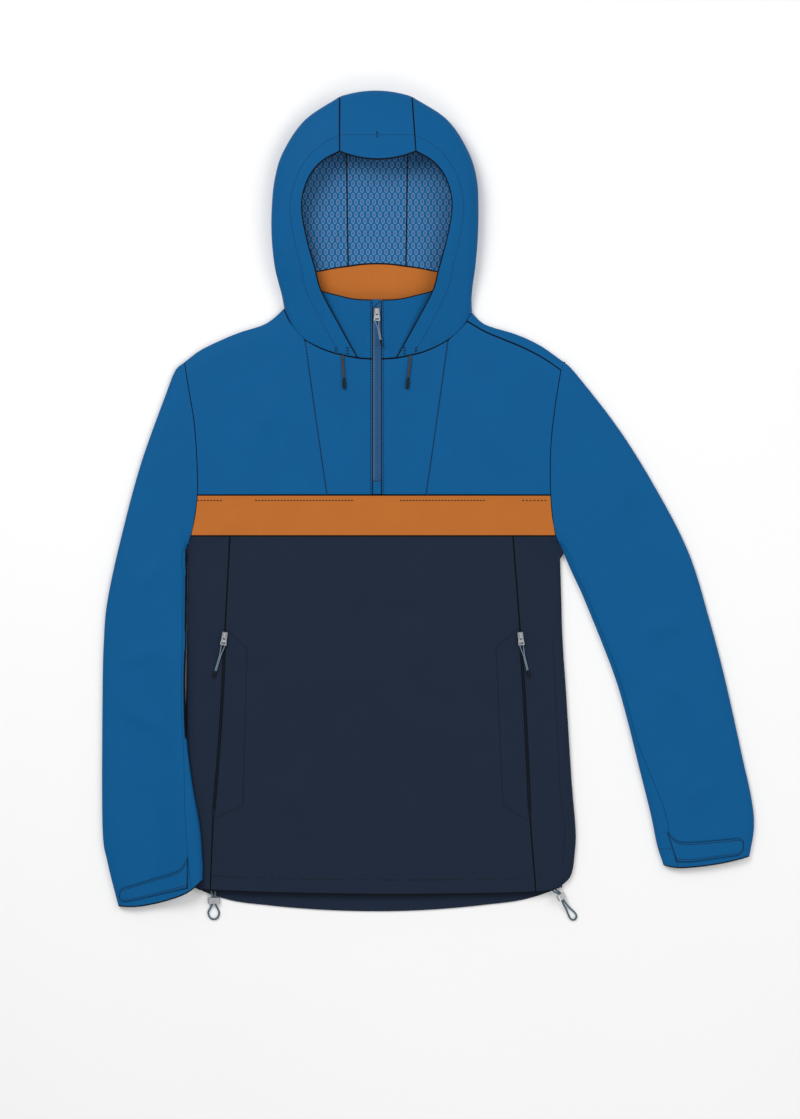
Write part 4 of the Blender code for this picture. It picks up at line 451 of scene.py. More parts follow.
def evenly(curve, intervals):
    """Dense polyline resampled to equal intervals."""
    return at_lengths(curve, np.linspace(0.0, arc_lengths(curve)[-1], intervals + 1))


def length_at_y(curve, y):
    """Length along a dense polyline where it passes a level, on a curve that falls in y."""
    along = arc_lengths(curve)
    return float(np.interp(-y, -curve[:, 1], along))


def join(*parts):
    """Polylines end to end, shared points once."""
    points = [parts[0]]
    for part in parts[1:]:
        points.append(part[1:])
    return np.vstack(points)


def fractions(line):
    """Running length along a polyline as shares of the whole."""
    along = arc_lengths(line)
    return along / along[-1]


def coons(bottom, top, left, right, settle=1.0):
    """Plan grid, rows bottom to top and columns left to right, between four sampled sides.

    The columns change from the bottom's spacing to the top's within the share settle.
    """
    u_low, u_high = fractions(bottom), fractions(top)
    v_left, v_right = fractions(left), fractions(right)
    rows, columns = len(left), len(bottom)
    grid = np.zeros((rows, columns, 2))
    for i in range(rows):
        for j in range(columns):
            v = v_left[i] + (v_right[i] - v_left[i]) * j / (columns - 1)
            u = u_low[j] + (u_high[j] - u_low[j]) * min(v / settle, 1.0)
            ruled = (1 - v) * bottom[j] + v * top[j] + (1 - u) * left[i] + u * right[i]
            corners = ((1 - v) * ((1 - u) * bottom[0] + u * bottom[-1])
                       + v * ((1 - u) * top[0] + u * top[-1]))
            grid[i, j] = ruled - corners
    return grid


# ------------------------------------------------------------------- materials

class Look:
    """A new material, with short calls for its nodes."""

    def __init__(self, name, roughness=0.6, metallic=0.0, sheen=0.0, specular=0.4):
        self.material = bpy.data.materials.new(name)
        self.material.use_nodes = True
        self.nodes = self.material.node_tree.nodes
        self.links = self.material.node_tree.links
        self.shader = self.nodes["Principled BSDF"]
        self.shader.inputs["Roughness"].default_value = roughness
        self.shader.inputs["Metallic"].default_value = metallic
        self.shader.inputs["Sheen Weight"].default_value = sheen
        self.shader.inputs["Specular IOR Level"].default_value = specular
        self.place = self.nodes.new("ShaderNodeTexCoord").outputs["Object"]

    def feed(self, socket, value):
        if isinstance(value, bpy.types.NodeSocket):
            self.links.new(value, socket)
        else:
            socket.default_value = value

    def math(self, operation, first, second=0.0):
        node = self.nodes.new("ShaderNodeMath")
        node.operation = operation
        self.feed(node.inputs[0], first)
        self.feed(node.inputs[1], second)
        return node.outputs[0]

    def stretch(self, scale):
        node = self.nodes.new("ShaderNodeMapping")
        self.links.new(self.place, node.inputs["Vector"])
        node.inputs["Scale"].default_value = scale
        return node.outputs[0]

    def noise(self, scale, detail=2.0, vector=None):
        node = self.nodes.new("ShaderNodeTexNoise")
        self.links.new(vector or self.place, node.inputs["Vector"])
        node.inputs["Scale"].default_value = scale
        node.inputs["Detail"].default_value = detail
        return node.outputs[0]

    def ribs(self, direction, period):
        """Sine bands across a direction, a period in metres apart."""
        node = self.nodes.new("ShaderNodeTexWave")
        self.links.new(self.place, node.inputs["Vector"])
        node.bands_direction = direction
        node.inputs["Scale"].default_value = 2.0 * math.pi / (20.0 * period)
        return node.outputs[1]

    def attribute(self, name):
        node = self.nodes.new("ShaderNodeAttribute")
        node.attribute_name = name
        return node.outputs["Fac"]

    def spread(self, value, low, high):
        """A value from 0 to 1 moved to the range low to high."""
        node = self.nodes.new("ShaderNodeMapRange")
        self.feed(node.inputs["Value"], value)
        node.inputs["To Min"].default_value = low
        node.inputs["To Max"].default_value = high
        return node.outputs[0]

    def blend(self, factor, first, second):
        node = self.nodes.new("ShaderNodeMix")
        node.data_type = "RGBA"
        self.feed(node.inputs[0], factor)
        for socket, colour in ((node.inputs[6], first), (node.inputs[7], second)):
            self.feed(socket, colour if isinstance(colour, bpy.types.NodeSocket) else (*colour, 1.0))
        return node.outputs[2]

    def colour(self, value):
        self.links.new(value, self.shader.inputs["Base Color"])

    def bump(self, *layers):
        """Heights laid over each other; each layer is value, strength, distance in metres."""
        normal = None
        for value, strength, distance in layers:
            node = self.nodes.new("ShaderNodeBump")
            node.inputs["Strength"].default_value = strength
            node.inputs["Distance"].default_value = distance
            self.links.new(value, node.inputs["Height"])
            if normal:
                self.links.new(normal, node.inputs["Normal"])
            normal = node.outputs[0]
        self.links.new(normal, self.shader.inputs["Normal"])


def shaded(colour, share):
    """A colour made darker or lighter."""
    return tuple(channel * share for channel in colour)


def woven(name, colour):
    """Matte woven nylon: fine plain weave, a little unevenness of tone, painted shade in a dark line at a
    seam.
    """
    look = Look(name, sheen=0.02, specular=0.09)
    tone = look.blend(look.noise(22.0, 3.0), shaded(colour, 0.9), shaded(colour, 1.1))
    yarns = look.noise(900.0, 1.0, look.stretch((1.0, 0.08, 1.0)))
    slub = look.blend(yarns, shaded(colour, 0.94), tone)
    # painted shade where the attribute seam is set
    look.colour(look.blend(look.attribute("seam"), slub, PAINTED_SHADE))
    look.links.new(look.spread(look.noise(160.0), 0.55, 0.72), look.shader.inputs["Roughness"])
    weave = look.math("MULTIPLY", look.ribs("X", WEAVE), look.ribs("Y", WEAVE))
    look.bump((look.noise(34.0, 3.0), 0.22, 0.0016), (weave, 0.25, 0.00012))
    return look.material


def ring_reach(look, shift):
    """Distance from the middle of the nearest ring of one lattice, 1 at the ring's outer edge."""
    split = look.nodes.new("ShaderNodeSeparateXYZ")
    look.links.new(look.place, split.inputs[0])
    parts = []
    for axis in (0, 1):
        turns = look.math("ADD", look.math("DIVIDE", split.outputs[axis], RING_PITCH[axis]), shift)
        offset = look.math("SUBTRACT", look.math("FRACT", turns), 0.5)
        scaled = look.math("MULTIPLY", offset, RING_PITCH[axis] / RING_HALF[axis])
        parts.append(look.math("MULTIPLY", scaled, scaled))
    return look.math("SQRT", look.math("ADD", parts[0], parts[1]))


def mesh_lining(name):
    """Knitted mesh: upright oval rings in two half-shifted lattices over a blue ground."""
    look = Look(name, roughness=0.7, sheen=0.05, specular=0.15)
    reach = look.math("MINIMUM", ring_reach(look, 0.0), ring_reach(look, 0.5))
    soft = look.nodes.new("ShaderNodeMapRange")
    off_middle = look.math("ABSOLUTE", look.math("SUBTRACT", reach, RING_MIDDLE))
    look.links.new(off_middle, soft.inputs["Value"])
    soft.inputs["From Min"].default_value = RING_WIDTH
    soft.inputs["From Max"].default_value = 0.4 * RING_WIDTH
    ring = soft.outputs[0]
    ground = look.blend(look.noise(40.0), shaded(BLUE, 0.9), shaded(BLUE, 1.1))
    centre = look.blend(look.math("LESS_THAN", reach, RING_MIDDLE), ground, RING_CENTRE)
    drawn = look.blend(ring, centre, RING_COLOUR)
    # painted shade where the attribute seam is set
    look.colour(look.blend(look.attribute("seam"), drawn, PAINTED_SHADE))
    look.bump((ring, 0.5, 0.0004), (look.noise(700.0), 0.15, 0.0002))
    return look.material


def ribbed_tape(name, colour, edge, line):
    """Woven zip tape with fine cross ribs.

    The front one has a greyer strip on the wearer's right and painted shade in a dark line beside each
    edge.
    """
    look = Look(name, roughness=0.7, sheen=0.1, specular=0.25)
    split = look.nodes.new("ShaderNodeSeparateXYZ")
    look.links.new(look.place, split.inputs[0])
    border = look.math("LESS_THAN", split.outputs[0], -TAPE_STRIP * MM)
    # painted shade beside the opening's edges
    beyond = look.math("GREATER_THAN", look.math("ABSOLUTE", split.outputs[0]), TAPE_SHADE * MM)
    tone = look.blend(look.noise(120.0), shaded(colour, 0.85), shaded(colour, 1.15))
    look.colour(look.blend(beyond, look.blend(border, tone, edge), line))
    look.bump((look.ribs("Y", TAPE_RIB), 0.3, 0.0002))
    return look.material


def brushed_metal(name):
    """Satin steel with a fine grain along its length."""
    look = Look(name, metallic=1.0)
    grain = look.noise(60.0, 4.0, look.stretch((40.0, 1.5, 40.0)))
    look.colour(look.blend(grain, *METAL_TONES))
    look.links.new(look.spread(grain, 0.26, 0.44), look.shader.inputs["Roughness"])
    look.bump((grain, 0.12, 0.0001))
    return look.material


def plastic(name, colour, roughness):
    """Moulded plastic with a slight speckle."""
    look = Look(name, roughness=roughness, specular=0.2)
    speck = look.noise(900.0, 2.0)
    look.colour(look.blend(speck, shaded(colour, 0.8), shaded(colour, 1.25)))
    look.links.new(look.spread(look.noise(300.0), roughness - 0.06, roughness + 0.08),
                   look.shader.inputs["Roughness"])
    look.bump((speck, 0.1, 0.0001))
    return look.material


def braid(name, dark, light):
    """Braided cord: lighter yarns show on the strands that stand out."""
    look = Look(name, roughness=0.75, sheen=0.1, specular=0.25)
    mottled = look.math("MULTIPLY", look.attribute("braid"), look.noise(650.0, 2.0))
    look.colour(look.blend(look.spread(mottled, 0.0, 1.6), dark, light))
    look.bump((look.noise(1500.0), 0.3, 0.0002))
    return look.material


def thread(name, colour):
    """Twisted sewing thread."""
    look = Look(name, roughness=0.65, specular=0.3)
    twist = look.noise(1400.0, 1.0, look.stretch((1.0, 0.3, 1.0)))
    look.colour(look.blend(twist, shaded(colour, 0.7), shaded(colour, 1.5)))
    look.bump((twist, 0.3, 0.0001))
    return look.material


SHELL_BLUE = (woven("nylon_blue", BLUE), "shell_blue")
BAND_ORANGE = (woven("nylon_orange", ORANGE), "band_orange")
LOWER_NAVY = (woven("nylon_navy", NAVY), "lower_navy")
HOOD_MESH = (mesh_lining("mesh_lining"), "hood_mesh")
ZIP_TAPE = (ribbed_tape("front_tape", TAPE_BLUE, TAPE_EDGE, PAINTED_SHADE), "zip_tape")
POCKET_TAPE = (ribbed_tape("pocket_tape", *[shaded(NAVY, 0.6)] * 3), "zip_tape")
ZIP_TEETH = plastic("zip_teeth", TEETH_BLUE, 0.5)
POCKET_TEETH = plastic("pocket_teeth", shaded(NAVY, 0.5), 0.45)
BLACK_PLASTIC = plastic("black_plastic", (0.006, 0.006, 0.007), 0.4)
BRUSHED_METAL = brushed_metal("brushed_metal")
DRAWCORD_BRAID = braid("drawcord_braid", (0.012, 0.009, 0.008), (0.105, 0.085, 0.080))
HEM_BRAID = braid("hem_braid", (0.022, 0.042, 0.055), (0.150, 0.235, 0.290))
PULLER_CORD = braid("puller_braid", (0.10, 0.15, 0.21), (0.30, 0.38, 0.47))
THREAD = thread("black_thread", (0.004, 0.004, 0.005))


# ------------------------------------------------------------------ fine grids

def line_slopes(points):
    """Slopes at the start and end of each interval of many lines, and their chord lengths.

    A line runs smoothly through its stations, but keeps its corners.
    """
    steps = np.diff(points, axis=0)
    chords = np.maximum(np.linalg.norm(steps, axis=-1, keepdims=True), 1e-6)
    heading = steps / chords
    start, end = heading.copy(), heading.copy()
    if len(steps) > 1:
        before, after = chords[:-1], chords[1:]
        smooth = (heading[:-1] * after + heading[1:] * before) / (before + after)
        turn = np.sum(heading[:-1] * heading[1:], axis=-1, keepdims=True)
        start[1:] = np.where(turn > CORNER, smooth, heading[1:])
        end[:-1] = np.where(turn > CORNER, smooth, heading[:-1])
    return start, end, chords


def refine_rows(points, counts=None, spacing=SPACING):
    """More rows, smooth through the given ones; counts is the steps in each interval."""
    start, end, chords = line_slopes(points)
    if counts is None:
        longest = chords.reshape(len(chords), -1).max(axis=1)
        counts = np.maximum(np.ceil(longest / spacing), 1).astype(int)
    rows = [points[:1]]
    for k, count in enumerate(counts):
        t = (np.arange(1, count + 1) / count).reshape(-1, *[1] * (points.ndim - 1))
        rise = start[k] * chords[k]
        fall = end[k] * chords[k]
        rows.append(points[k] * (2 * t ** 3 - 3 * t ** 2 + 1) + rise * (t ** 3 - 2 * t ** 2 + t)
                    + points[k + 1] * (3 * t ** 2 - 2 * t ** 3) + fall * (t ** 3 - t ** 2))
    return np.concatenate(rows), counts


def refine(grid, row_counts=None, column_counts=None, spacing=SPACING):
    """Fine grid through a coarse one, with the steps taken in each of its intervals."""
    grid, row_counts = refine_rows(grid, row_counts, spacing)
    turned, column_counts = refine_rows(grid.swapaxes(0, 1), column_counts, spacing)
    return turned.swapaxes(0, 1), row_counts, column_counts


def facing(grid, side):
    """The grid turned so that one side is its first row."""
    if side in ("left", "right"):
        grid = grid.swapaxes(0, 1)
    if side in ("top", "right"):
        grid = grid[::-1]
    return grid


def turned_back(grid, side):
    """The grid as it was before facing."""
    if side in ("top", "right"):
        grid = grid[::-1]
    if side in ("left", "right"):
        grid = grid.swapaxes(0, 1)
    return grid


def edge_rows(surface, grid, finish, gap, guide):
    """Rows next to the first one moved to a finish's distances on the surface.

    The first row is drawn back by the gap; guide is the column whose rows are counted.
    """
    lengths = np.cumsum(np.linalg.norm(np.diff(surface(grid), axis=0), axis=-1), axis=0)
    reach = np.median(lengths, axis=1) if guide is None else lengths[:, guide]
    distances = np.array([row[0] for row in finish])
    last = int(np.argmax(reach > distances[-1] + EDGE_MARGIN)) + 1
    shares = np.linspace(0.0, 1.0, EDGE_SAMPLES) ** 2
    along = shares * last
    index = np.minimum(along.astype(int), last - 1)
    part = (along - index).reshape(-1, *[1] * (grid.ndim - 1))
    dense = grid[index] * (1 - part) + grid[index + 1] * part
    steps = np.linalg.norm(np.diff(surface(dense), axis=0), axis=-1)
    walked = np.concatenate([np.zeros((1, steps.shape[1])), np.cumsum(steps, axis=0)])
    rows = np.zeros((len(finish), *grid.shape[1:]))
    for column in range(grid.shape[1]):
        squeeze = min(1.0, EDGE_SQUEEZE * walked[-1, column] / distances[-1])
        targets = gap[column] + distances * squeeze
        for k in range(grid.shape[-1]):
            rows[:, column, k] = np.interp(targets, walked[:, column], dense[:, column, k])
    return np.concatenate([rows, grid[last:]])


def unit(vectors):
    """Vectors scaled to length 1."""
    return vectors / np.maximum(np.linalg.norm(vectors, axis=-1, keepdims=True), 1e-12)


def grid_normals(points, outward):
    """Unit normals of a grid of points, on the side of outward at its middle."""
    normals = unit(np.cross(np.gradient(points, axis=0), np.gradient(points, axis=1)))
    middle = (points.shape[0] // 2, points.shape[1] // 2)
    return normals if np.dot(normals[middle], outward) > 0 else -normals


class Sheet:
    """Fine points of a piece of cloth, their normals, and each one's share of the dark line of painted
    shade at a seam or edge.
    """

    def __init__(self, points, normals, dark, active=None):
        self.points = points
        self.normals = normals
        self.dark = dark
        shape = (points.shape[0] - 1, points.shape[1] - 1)
        self.active = np.ones(shape, dtype=bool) if active is None else active


UP = np.array([0.0, 0.0, 1.0])
DOWN = -UP


def unseamed(points):
    """Sheet that faces up and has no dark line."""
    return Sheet(points, grid_normals(points, UP), np.zeros(points.shape[:2]))


def panel(surface, grid, seams="", plain="", free="", lined="", outward=UP, gap=None, guides=None):
    """Fine sheet over a surface, its sides finished as named.

    Seams and plain sides stand half a gap back from the next piece; free and lined ones end
    there. Seams and lined sides get painted shade, dark along the edge.
    """
    gap, guides = gap or {}, guides or {}
    finished = []
    for finish, sides in (("seam", seams), ("plain", plain), ("free", free), ("lined", lined)):
        for side in sides.split():
            faced = facing(grid, side)
            amounts = gap[side](faced[0]) if side in gap else np.full(faced.shape[1], HALF_GAP)
            amounts = amounts * (finish in ("seam", "plain"))
            rows = edge_rows(surface, faced, FINISHES[finish], amounts, guides.get(side))
            grid = turned_back(rows, side)
            finished.append((side, finish))
    points = surface(grid)
    dark, dip = np.zeros(points.shape[:2]), np.zeros(points.shape[:2])
    for side, finish in finished:
        for k, (_, line, low) in enumerate(FINISHES[finish]):
            row_dark, row_dip = facing(dark, side)[k], facing(dip, side)[k]
            np.maximum(row_dark, line, out=row_dark)
            np.maximum(row_dip, low, out=row_dip)
    normals = grid_normals(points, outward)
    return Sheet(points - normals * dip[..., None], normals, dark)


def line_where(sheet, side, test):
    """The painted shade line along a side kept only at the points that pass a test."""
    facing(sheet.dark, side)[:LINE_ROWS] *= test(facing(sheet.points, side)[:LINE_ROWS])


def painted_shade_on_fold(sheet, fold):
    """Painted shade in a dark line along a fold, between the levels where it lies against the body."""
    level_y = sheet.points[..., 1]
    near = Outline(fold).distance(sheet.points[..., :2]) < FOLD_SHADE_WIDTH
    near &= (level_y > FOLD_SHADE_LEVELS[0]) & (level_y < FOLD_SHADE_LEVELS[1])
    np.maximum(sheet.dark, near, out=sheet.dark)


def smoothstep(value):
    """Soft step from 0 to 1."""
    value = np.clip(value, 0.0, 1.0)
    return value * value * (3.0 - 2.0 * value)


# ------------------------------------------------------------- height functions

class Outline:
    """Side folds of one region, for the distance to the nearest."""

    BATCH = 2000

    def __init__(self, *curves):
        self.start = np.vstack([curve[:-1] for curve in curves])
        self.vector = np.vstack([curve[1:] for curve in curves]) - self.start
        self.squared = np.sum(self.vector ** 2, axis=1)
        self.ends = np.vstack([curve[[0, -1]] for curve in curves])

    def nearest(self, plan):
        """Nearest point on the folds to each plan point, and the distance to it."""
        flat = plan.reshape(-1, 2)
        spots, gaps = [], []
        for first in range(0, len(flat), self.BATCH):
            part = flat[first:first + self.BATCH]
            offset = part[:, None] - self.start
            t = np.clip(np.einsum("ijk,jk->ij", offset, self.vector) / self.squared, 0.0, 1.0)
            away = offset - t[..., None] * self.vector
            away = away[np.arange(len(part)), np.einsum("ijk,ijk->ij", away, away).argmin(axis=1)]
            spots.append(part - away)
            gaps.append(np.linalg.norm(away, axis=1))
        spots, gaps = np.concatenate(spots), np.concatenate(gaps)
        return spots.reshape(plan.shape), gaps.reshape(plan.shape[:-1])

    def distance(self, plan):
        return self.nearest(plan)[1]


def on_fold(region, grid, sides):
    """The grid with its sides laid exactly on the region's folds where they run along them."""
    grid = grid.copy()
    for side in sides.split():
        row = facing(grid, side)[0]
        spots, gaps = region.outline.nearest(row)
        past_end = np.linalg.norm(spots[:, None] - region.outline.ends, axis=-1).min(axis=1) < ON_END
        near = (gaps < FOLD_REACH) & ~past_end
        row[near] = spots[near]
    return grid


def folds_height(plan):
    """Sum of the soft folds: a bell across each, fading to its ends."""
    height = np.zeros(plan.shape[:-1])
    for x, y, angle, length, width, rise in FOLDS:
        turn = math.radians(angle)
        along = (plan[..., 0] - x) * math.cos(turn) + (plan[..., 1] - y) * math.sin(turn)
        across = (plan[..., 1] - y) * math.cos(turn) - (plan[..., 0] - x) * math.sin(turn)
        fade = smoothstep(1.0 - np.abs(along) / (0.5 * length))
        height += rise * fade * np.exp(-(across / width) ** 2)
    return height


def no_lift(plan):
    """Lift of a part that lies on the surface."""
    return np.zeros(plan.shape[:-1])


def sleeve_lift(plan):
    """Rise of the right sleeve where it climbs over the body's side."""
    table = np.array(SIDE_R[:7])
    side_x = np.interp(-plan[..., 1], -table[:, 1], table[:, 0])
    across = (plan[..., 0] - side_x + LIFT_BEFORE) / (LIFT_BEFORE + LIFT_AFTER)
    along = (LIFT_START_Y - plan[..., 1]) / (LIFT_START_Y - LIFT_FULL_Y)
    return LIFT_HEIGHT * smoothstep(across) * smoothstep(along)


def quarter_round(share):
    """Height of a quarter round at a share of its width."""
    return np.sqrt(np.maximum(1.0 - (1.0 - np.minimum(share, 1.0)) ** 2, 0.0))


def level(plan, height):
    """Plan points raised to a height."""
    return np.concatenate([plan, np.asarray(height)[..., None]], axis=-1)


class Region:
    """Cloth laid flat inside an outline, with its top and its underside as surfaces."""

    def __init__(self, outline, lift=no_lift):
        self.outline = outline
        self.lift = lift

    def top(self, plan):
        distance = self.outline.distance(plan)
        soft = folds_height(plan) * smoothstep(distance / ROLL - SOFT_START)
        return level(plan, EDGE + LOFT * quarter_round(distance / ROLL) + self.lift(plan) + soft)

    def bottom(self, plan):
        distance = self.outline.distance(plan)
        return level(plan, EDGE * (1.0 - quarter_round(distance / UNDER)) + self.lift(plan))


# ---------------------------------------------------------------------- meshes

def linked(name, data):
    """New object in the scene."""
    item = bpy.data.objects.new(name, data)
    bpy.context.scene.collection.objects.link(item)
    return item


def add_piece(name, mesh, material, body="garment", nodes=()):
    """An object that rides on a body, shows one material and stands for CAD nodes."""
    item = linked(name, mesh)
    mesh.materials.append(material)
    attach(item, body)
    if nodes:
        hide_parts(*nodes)
    return item


def mesh_from(name, vertices, faces):
    """Smooth mesh in metres from vertices in millimetres."""
    mesh = bpy.data.meshes.new(name)
    mesh.from_pydata((np.asarray(vertices) * MM).tolist(), [], faces)
    mesh.shade_smooth()
    return mesh


def shell_faces(active):
    """Faces of a closed shell over two grids, the second one numbered after the first."""
    rows, columns = active.shape
    index = np.arange((rows + 1) * (columns + 1)).reshape(rows + 1, columns + 1)
    i, j = np.nonzero(active)
    quads = np.stack([index[i, j], index[i, j + 1], index[i + 1, j + 1], index[i + 1, j]], axis=1)
    ring = np.pad(active, 1)
    beyond = (ring[i, j + 1], ring[i + 1, j + 2], ring[i + 2, j + 1], ring[i + 1, j])
    faces = [quads, quads[:, ::-1] + index.size]
    for k, taken in enumerate(beyond):
        first, second = quads[~taken, k], quads[~taken, (k + 1) % 4]
        faces.append(np.stack([second, first, first + index.size, second + index.size], axis=1))
    return np.concatenate(faces)


def cloth(name, sheet, material, thickness=WALL, depth=0.0):
    """Closed cloth shell under a sheet, its outer side depth below the sheet."""
    outer = sheet.points - sheet.normals * depth
    inner = outer - sheet.normals * thickness
    faces = shell_faces(sheet.active)
    used, numbered = np.unique(faces, return_inverse=True)
    vertices = np.concatenate([outer.reshape(-1, 3), inner.reshape(-1, 3)])[used]
    dark = np.tile(sheet.dark.ravel(), 2)[used]
    faces = numbered.reshape(faces.shape)
    corners = vertices[faces]
    middle = vertices.mean(axis=0)
    spread = np.cross(corners[:, 2] - corners[:, 0], corners[:, 3] - corners[:, 1])
    if np.sum((corners.mean(axis=1) - middle) * spread) < 0:
        faces = faces[:, ::-1]
    mesh = mesh_from(name, vertices, faces.tolist())
    # the attribute seam carries the painted shade of seams, edges and rims
    mesh.attributes.new("seam", "FLOAT", "POINT").data.foreach_set("value", dark)
    mesh.set_sharp_from_angle(angle=SHARP_ANGLE)
    piece = add_piece(name + "_cloth", mesh, material[0], nodes=(name,))
    return piece


# ------------------------------------------------------ sampled seams and folds

def length_near(curve, point):
    """Length along a dense polyline to the point nearest to a given one."""
    nearest = np.argmin(np.linalg.norm(curve - np.asarray(point), axis=1))
    return arc_lengths(curve)[nearest]


def straight(start, end, shares):
    """Points between two plan points at given shares of the way."""
    start, end = np.asarray(start, dtype=float), np.asarray(end, dtype=float)
    return start + (end - start) * np.asarray(shares)[:, None]


def ruled(bottom, top, shares):
    """Plan grid between two sampled sides, its other sides straight, with rows at shares."""
    return coons(bottom, top, straight(bottom[0], top[0], shares), straight(bottom[-1], top[-1], shares))


def eased(width, intervals):
    """Shares of a width, close together where it folds over and again toward its end."""
    near = [ROLL * (1.0 - math.cos(math.radians(angle))) / width for angle in ROLL_ANGLES]
    steps = np.linspace(0.0, 1.0, intervals + 2 - len(ROLL_ANGLES))
    rest = near[-1] + (1.0 - near[-1]) * (1.0 - (1.0 - steps) ** EASE_POWER)
    return np.array(near[:-1] + list(rest))


class SideCurves:
    """Every sampled curve of one side of the garment, R or L."""

    def __init__(self, side):
        tables = {
            "R": (SHOULDER_R, SIDE_R, SLEEVE_OUT_R, SLEEVE_IN_R, ARMHOLE_R, NECK_R, YOKE_SEAM_R,
                  LOWER_SEAM_R, CUFF_R, HOOD_R),
            "L": (SHOULDER_L, SIDE_L, SLEEVE_OUT_L, SLEEVE_IN_L, ARMHOLE_L, NECK_L, YOKE_SEAM_L,
                  LOWER_SEAM_L, CUFF_L, HOOD_L),
        }[side]
        self.side = side
        self.sign = -1.0 if side == "R" else 1.0
        (self.shoulder, self.flank, self.sleeve_out, self.sleeve_in, armhole, neck, self.yoke_seam,
         self.lower_seam, self.cuff) = (fine(table) for table in tables[:-1])
        self.hood = tables[-1]
        sleeve_end = list(tables[4][:-1]) + [tables[3][0]]
        self.armhole, self.back_armhole = self.armhole_stations(armhole)
        self.sleeve_armhole, self.back_sleeve_armhole = self.armhole_stations(fine(sleeve_end))
        rising = neck[::-1]
        corner = length_near(rising, tables[5][2])
        total = arc_lengths(rising)[-1]
        lengths = list(NECK_STEPS) + list(np.linspace(corner, total, 5))
        self.neck = at_lengths(rising, lengths)
        lengths = [0.0] + [length_at_y(self.flank, y) for y in FLANK_LEVELS]
        self.flank_points = at_lengths(self.flank, lengths + [arc_lengths(self.flank)[-1]])
        lengths = [length_at_y(self.lower_seam, y) for y in LOWER_STATIONS]
        self.lower_points = at_lengths(self.lower_seam, lengths + [arc_lengths(self.lower_seam)[-1]])
        back = fine(BACK_NECK if side == "R" else BACK_NECK[::-1])
        seat = length_near(back, (self.sign * SEAT_X, SEAT_Y))
        self.back_neck = at_lengths(back, list(BACK_NECK_STEPS) + [seat])

    @staticmethod
    def armhole_stations(curve):
        """Front and back stations from shoulder to underarm, shared from the chest down."""
        chest, band_end = length_at_y(curve, CHEST_Y), length_at_y(curve, BAND_Y)
        total = arc_lengths(curve)[-1]
        shared = [ARMHOLE_STEPS[-1], chest, 0.5 * (chest + band_end), band_end]
        front = [*ARMHOLE_STEPS[:-1], *shared, total - NOTCH, total]
        back = [*BACK_ARMHOLE_STEPS, *shared, total]
        return at_lengths(curve, front), at_lengths(curve, back)


CURVES = {side: SideCurves(side) for side in "RL"}
RIGHT, LEFT = CURVES["R"], CURVES["L"]
BODY = Region(Outline(RIGHT.shoulder, LEFT.shoulder, RIGHT.flank, LEFT.flank, RIGHT.sleeve_out,
                      LEFT.sleeve_out, LEFT.sleeve_in))
SLEEVES = {
    "R": Region(Outline(RIGHT.shoulder, RIGHT.sleeve_out, RIGHT.sleeve_in), sleeve_lift),
    "L": Region(Outline(LEFT.shoulder, LEFT.sleeve_out, LEFT.sleeve_in, LEFT.flank)),
}


# ------------------------------------------------------------------ body pieces

def forward_seam():
    """Left shoulder seam, from the armhole to the neck."""
    return fine([LEFT.armhole[FORWARD_STEP]] + FORWARD_SEAM + [LEFT.neck[FORWARD_STEP]])


def yoke_side(curves):
    """Yoke between armhole and princess seam; the left one ends at the forward shoulder seam."""
    first = FORWARD_STEP if curves.side == "L" else 0
    outer = curves.armhole[first:YOKE_END + 1][::-1]
    inner = join(evenly(curves.yoke_seam, YOKE_INTERVALS)[::-1],
                 curves.neck[first:NECK_CORNER + 1][::-1])
    top = evenly(forward_seam() if curves.side == "L" else curves.shoulder, SHOULDER_INTERVALS)
    bottom = straight(outer[0], inner[0], np.linspace(0.0, 1.0, SHOULDER_INTERVALS + 1))
    grid = refine(coons(bottom, top, outer, inner))[0]
    if curves.side == "L":
        sheet = panel(BODY.top, grid, "bottom left top right")
    else:
        sheet = panel(BODY.top, on_fold(BODY, grid, "top"), "bottom left right", "top")
    corner = curves.neck[NECK_CORNER][1]
    line_where(sheet, "right", lambda spots: spots[..., 1] > corner - LINE_OVERLAP)
    cloth("front_yoke_side_" + curves.side, sheet, SHELL_BLUE)


def yoke_centre(curves):
    """Yoke between princess seam and zip."""
    seam = evenly(curves.yoke_seam, YOKE_INTERVALS)[::-1]
    zip_x = curves.sign * ZIP_HALF
    shares = np.linspace(0.0, 1.0, YOKE_INTERVALS + 1)
    zip_edge = straight((zip_x, CHEST_Y), (zip_x, NECK_Y), shares)
    top = join(curves.neck[NECK_CORNER:], zip_edge[-1:].repeat(2, axis=0))
    bottom = straight(seam[0], zip_edge[0], fractions(top))
    grid = refine(coons(bottom, top, seam, zip_edge))[0]
    sheet = panel(BODY.top, grid, "bottom top", "left", free="right")
    cloth("front_yoke_centre_" + curves.side, sheet, SHELL_BLUE)


def band():
    """Band across the chest, armhole to armhole."""
    left, right = (c.armhole[YOKE_END:BAND_END + 1][::-1] for c in (RIGHT, LEFT))
    width = right[0][0] - left[0][0]
    near = [step / width for step in BAND_STEPS]
    shares = np.array([*near, *BAND_SHARES, *(1 - share for share in reversed(near))])
    grid = refine(coons(straight(left[0], right[0], shares), straight(left[-1], right[-1], shares),
                        left, right))[0]
    cloth("front_band", panel(BODY.top, grid, "bottom top left right"), BAND_ORANGE)


def slot_gap(edge):
    """Distance that an edge stands back from the pocket seam: half a gap, or half the opening."""
    levels = edge[:, 1]
    ramp = np.minimum((SLOT_TOP - levels) / SLOT_EASE, (levels - SLOT_BOTTOM) / SLOT_EASE)
    return HALF_GAP + SLOT_HALF * np.clip(ramp, 0.0, 1.0)


def hem_part(start_x, end_x, shares):
    """Points on the front hem between two places across it."""
    hem = fine(HEM)
    across = start_x + (end_x - start_x) * np.asarray(shares)
    return np.stack([across, np.interp(across, hem[:, 0], hem[:, 1])], axis=1)


